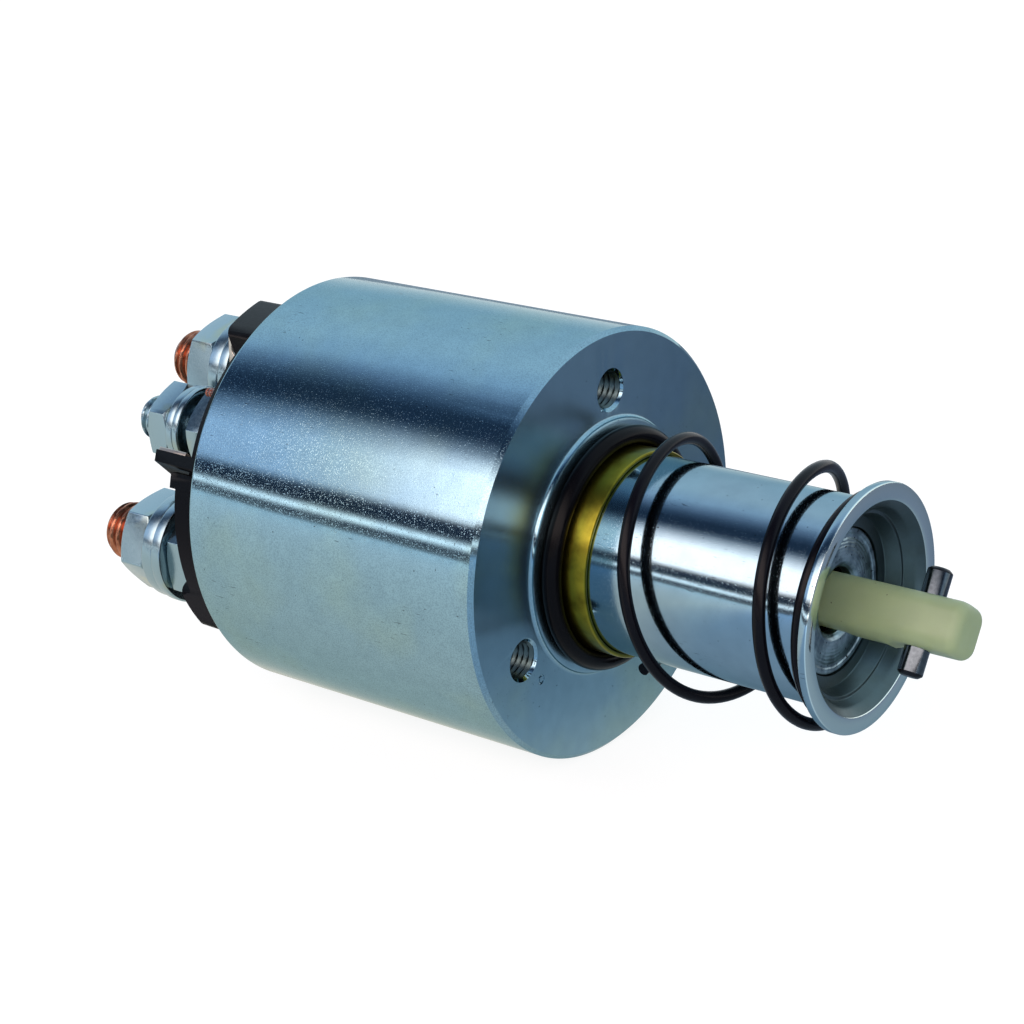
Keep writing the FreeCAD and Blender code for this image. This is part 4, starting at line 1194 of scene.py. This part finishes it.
class SOLENOID_OT_stage(bpy.types.Operator):
    """Camera, pale floor and the soft light of the studio"""
    bl_idname = "solenoid.stage"
    bl_label = "Stage"

    def execute(self, context):
        self.camera()
        self.floor()
        self.room()
        return {"FINISHED"}

    # Where the camera is, in metres, and the way it looks
    CAMERA_PLACE = (0.1631, -0.2308, 0.0970)
    CAMERA_AIM = (-0.5808, 0.7519, -0.3118)

    def camera(self):
        forward = Vector(self.CAMERA_AIM).normalized()
        right = forward.cross(Vector((0, 0, 1))).normalized()
        up = right.cross(forward)
        data = bpy.data.cameras.new("camera")
        data.lens = studio().lens
        data.sensor_width = 36
        data.clip_start, data.clip_end = 0.01, 50
        seen = bpy.data.objects.new("camera", data)
        turn = Matrix((right, up, -forward)).transposed().to_4x4()
        seen.matrix_world = Matrix.Translation(self.CAMERA_PLACE) @ turn
        bpy.context.scene.collection.objects.link(seen)
        bpy.context.scene.camera = seen

    def floor(self):
        fresh()
        bpy.ops.mesh.primitive_plane_add(size=12, location=(0, 0, cad_bounds[0].z - 0.02 * MM))
        piece = bpy.context.object
        piece.name = "floor"
        made = bpy.data.materials.new("white paper floor")
        made.use_nodes = True
        tree = made.node_tree
        tree.nodes.clear()
        matt = add(tree, "BsdfDiffuse", {"Color": opaque(studio().floor)}).outputs[0]
        white = add(tree, "Emission", {"Color": (1, 1, 1, 1), "Strength": 1.15}).outputs[0]
        across = parts_of(tree, add(tree, "TexCoord").outputs["Object"])
        low, high = self.SHEET[0][0], self.SHEET[-1][0]
        colour = self.ramp(tree, spread(tree, across["Y"], low, high), self.SHEET, low, high)
        # Painted shade on what glossy rays see of the floor: darker and bluer in front of the face,
        # and darker still there on the far side of the axis.
        front = spread(tree, across["X"], -0.012, 0.012)
        colour = mixed(tree, front, colour, (0.42, 0.6, 0.86, 1), "MULTIPLY")
        beyond = spread(tree, across["X"], 0.002, 0.03)
        behind = spread(tree, across["Y"], -0.015, 0.01)
        mirrored_shade = computed(tree, "MULTIPLY", beyond, behind)
        colour = mixed(tree, mirrored_shade, colour, (0.3, 0.4, 0.5, 1), "MULTIPLY")
        paper = add(tree, "Emission", {"Color": colour, "Strength": self.GAIN}).outputs[0]
        rays = add(tree, "LightPath").outputs
        seen = self.either(tree, 0.74, matt, white)
        mirrored = self.either(tree, 0.8, matt, paper)
        other = self.either(tree, rays["Is Glossy Ray"], matt, mirrored)
        out = self.either(tree, rays["Is Camera Ray"], other, seen)
        add(tree, "OutputMaterial", {"Surface": out})
        piece.data.materials.append(made)

    # Colour ramps stop at 1, so they hold the light divided by this, and emission gives it back
    GAIN = 4.0

    # Place across the floor in metres, with what polished metal sees there: paper with a dark edge
    SHEET = (
        (-0.8, "#54606E", 0.25), (-0.62, "#54606E", 0.25), (-0.5, "#DCF4FF", 1.62),
        (-0.2, "#F2FCFF", 1.25), (-0.05, "#F6FBF4", 1.0), (0.03, "#FFF2DC", 1.0),
        (0.08, "#9FC0DC", 0.65), (0.2, "#9FC0DC", 0.5),
    )

    # Angle round the object's axis in degrees, from the horizon on the camera's side up over the top,
    # with the colour and strength of the room there
    BANDS = (
        (-180, "#FFFFFF", 1.3), (-160, "#FFF2E4", 0.8), (-4, "#4E6A90", 0.3),
        (2.2, "#4E6A90", 0.3), (3.2, "#FFFFFF", 3.2), (5.0, "#FFFFFF", 3.2),
        (6.0, "#4E6A90", 0.24), (14, "#4E6A90", 0.3), (50, "#8EA6C4", 0.4), (62, "#5C7EA8", 0.3),
        (70, "#5C7EA8", 0.28), (77, "#7C9CC4", 0.45), (85, "#A8C4E8", 0.75), (94, "#C8E4FF", 1.1),
        (110, "#D8F0FF", 1.15), (155, "#D8F0FF", 1.1), (180, "#FFFFFF", 1.3),
    )

    # The same for the long softbox, which ends towards the rear of the object
    SOFTBOX = (
        (14.5, "#FFFFFF", 0.0), (19, "#FFFFFF", 3.4), (40, "#FFFFFF", 3.4), (52, "#F2F8FF", 1.2),
        (58, "#D8ECFF", 0.25), (62, "#D8ECFF", 0.0),
    )

    def room(self):
        world = bpy.data.worlds.new("studio")
        bpy.context.scene.world = world
        world.use_nodes = True
        tree = world.node_tree
        tree.nodes.clear()
        direction = parts_of(tree, add(tree, "TexCoord").outputs["Generated"])
        toward = computed(tree, "MULTIPLY", direction["Y"], -1.0)
        angle = computed(tree, "ARCTAN2", direction["Z"], toward)
        place = spread(tree, angle, -math.pi, math.pi)
        bands = self.ramp(tree, place, self.BANDS, -180, 180)
        box = self.ramp(tree, place, self.SOFTBOX, -180, 180)
        front = spread(tree, direction["X"], -0.64, -0.59)
        tint = mixed(tree, front, (0.24, 0.29, 0.37, 1), (1.1, 0.93, 0.87, 1))
        box = mixed(tree, 1.0, box, tint, "MULTIPLY")
        light = mixed(tree, studio().softbox, bands, box, "ADD")
        rays = add(tree, "LightPath").outputs
        light = mixed(tree, rays["Is Camera Ray"], light, (0.25, 0.25, 0.25, 1))
        lit = add(tree, "Background", {"Color": light, "Strength": self.GAIN * studio().room})
        add(tree, "OutputWorld", {"Surface": lit.outputs[0]})

    @staticmethod
    def either(tree, share, first, second):
        """Shader that gives that share of the second and the rest of the first."""
        return add(tree, "MixShader", {0: share, 1: first, 2: second}).outputs[0]

    def ramp(self, tree, value, bands, low, high):
        """Colours and strengths of the bands over a value that runs from 0 at low to 1 at high."""
        made = add(tree, "ValToRGB", {0: value})
        stops = made.color_ramp.elements
        while len(stops) > 1:
            stops.remove(stops[-1])
        for number, (where, code, strength) in enumerate(bands):
            place = (where - low) / (high - low)
            stop = stops[0] if number == 0 else stops.new(place)
            stop.position = place
            stop.color = opaque([part * strength / self.GAIN for part in linear(code)])
        return made.outputs[0]


OPERATORS = (
    SOLENOID_OT_can, SOLENOID_OT_sleeve_and_seal, SOLENOID_OT_plunger, SOLENOID_OT_link_and_pin,
    SOLENOID_OT_return_spring, SOLENOID_OT_cap, SOLENOID_OT_studs, SOLENOID_OT_nuts,
    SOLENOID_OT_washers, SOLENOID_OT_straps, SOLENOID_OT_inner_parts, SOLENOID_OT_inner_springs,
    SOLENOID_OT_stage,
)


class SOLENOID_PT_panel(bpy.types.Panel):
    """Lists the pieces and the stage"""
    bl_label = "Starter solenoid"
    bl_space_type = "VIEW_3D"
    bl_region_type = "UI"
    bl_category = "Solenoid"

    def draw(self, context):
        for kind in OPERATORS:
            self.layout.operator(kind.bl_idname)
        for group in (
            context.scene.solenoid_sizes, context.scene.solenoid_colours,
            context.scene.solenoid_studio,
        ):
            for name in group.__annotations__:
                self.layout.prop(group, name)


CLASSES = (SolenoidSizes, SolenoidColours, SolenoidStudio, *OPERATORS, SOLENOID_PT_panel)


def register():
    for kind in CLASSES:
        bpy.utils.register_class(kind)
    bpy.types.Scene.solenoid_sizes = bpy.props.PointerProperty(type=SolenoidSizes)
    bpy.types.Scene.solenoid_colours = bpy.props.PointerProperty(type=SolenoidColours)
    bpy.types.Scene.solenoid_studio = bpy.props.PointerProperty(type=SolenoidStudio)


def unregister():
    del bpy.types.Scene.solenoid_sizes
    del bpy.types.Scene.solenoid_colours
    del bpy.types.Scene.solenoid_studio
    for kind in reversed(CLASSES):
        bpy.utils.unregister_class(kind)


def main():
    register()
    for kind in OPERATORS:
        group, name = kind.bl_idname.split(".")
        getattr(getattr(bpy.ops, group), name)()
    fresh()
    bpy.context.scene.view_settings.view_transform = "Standard"


if __name__ == "__main__":
    main()
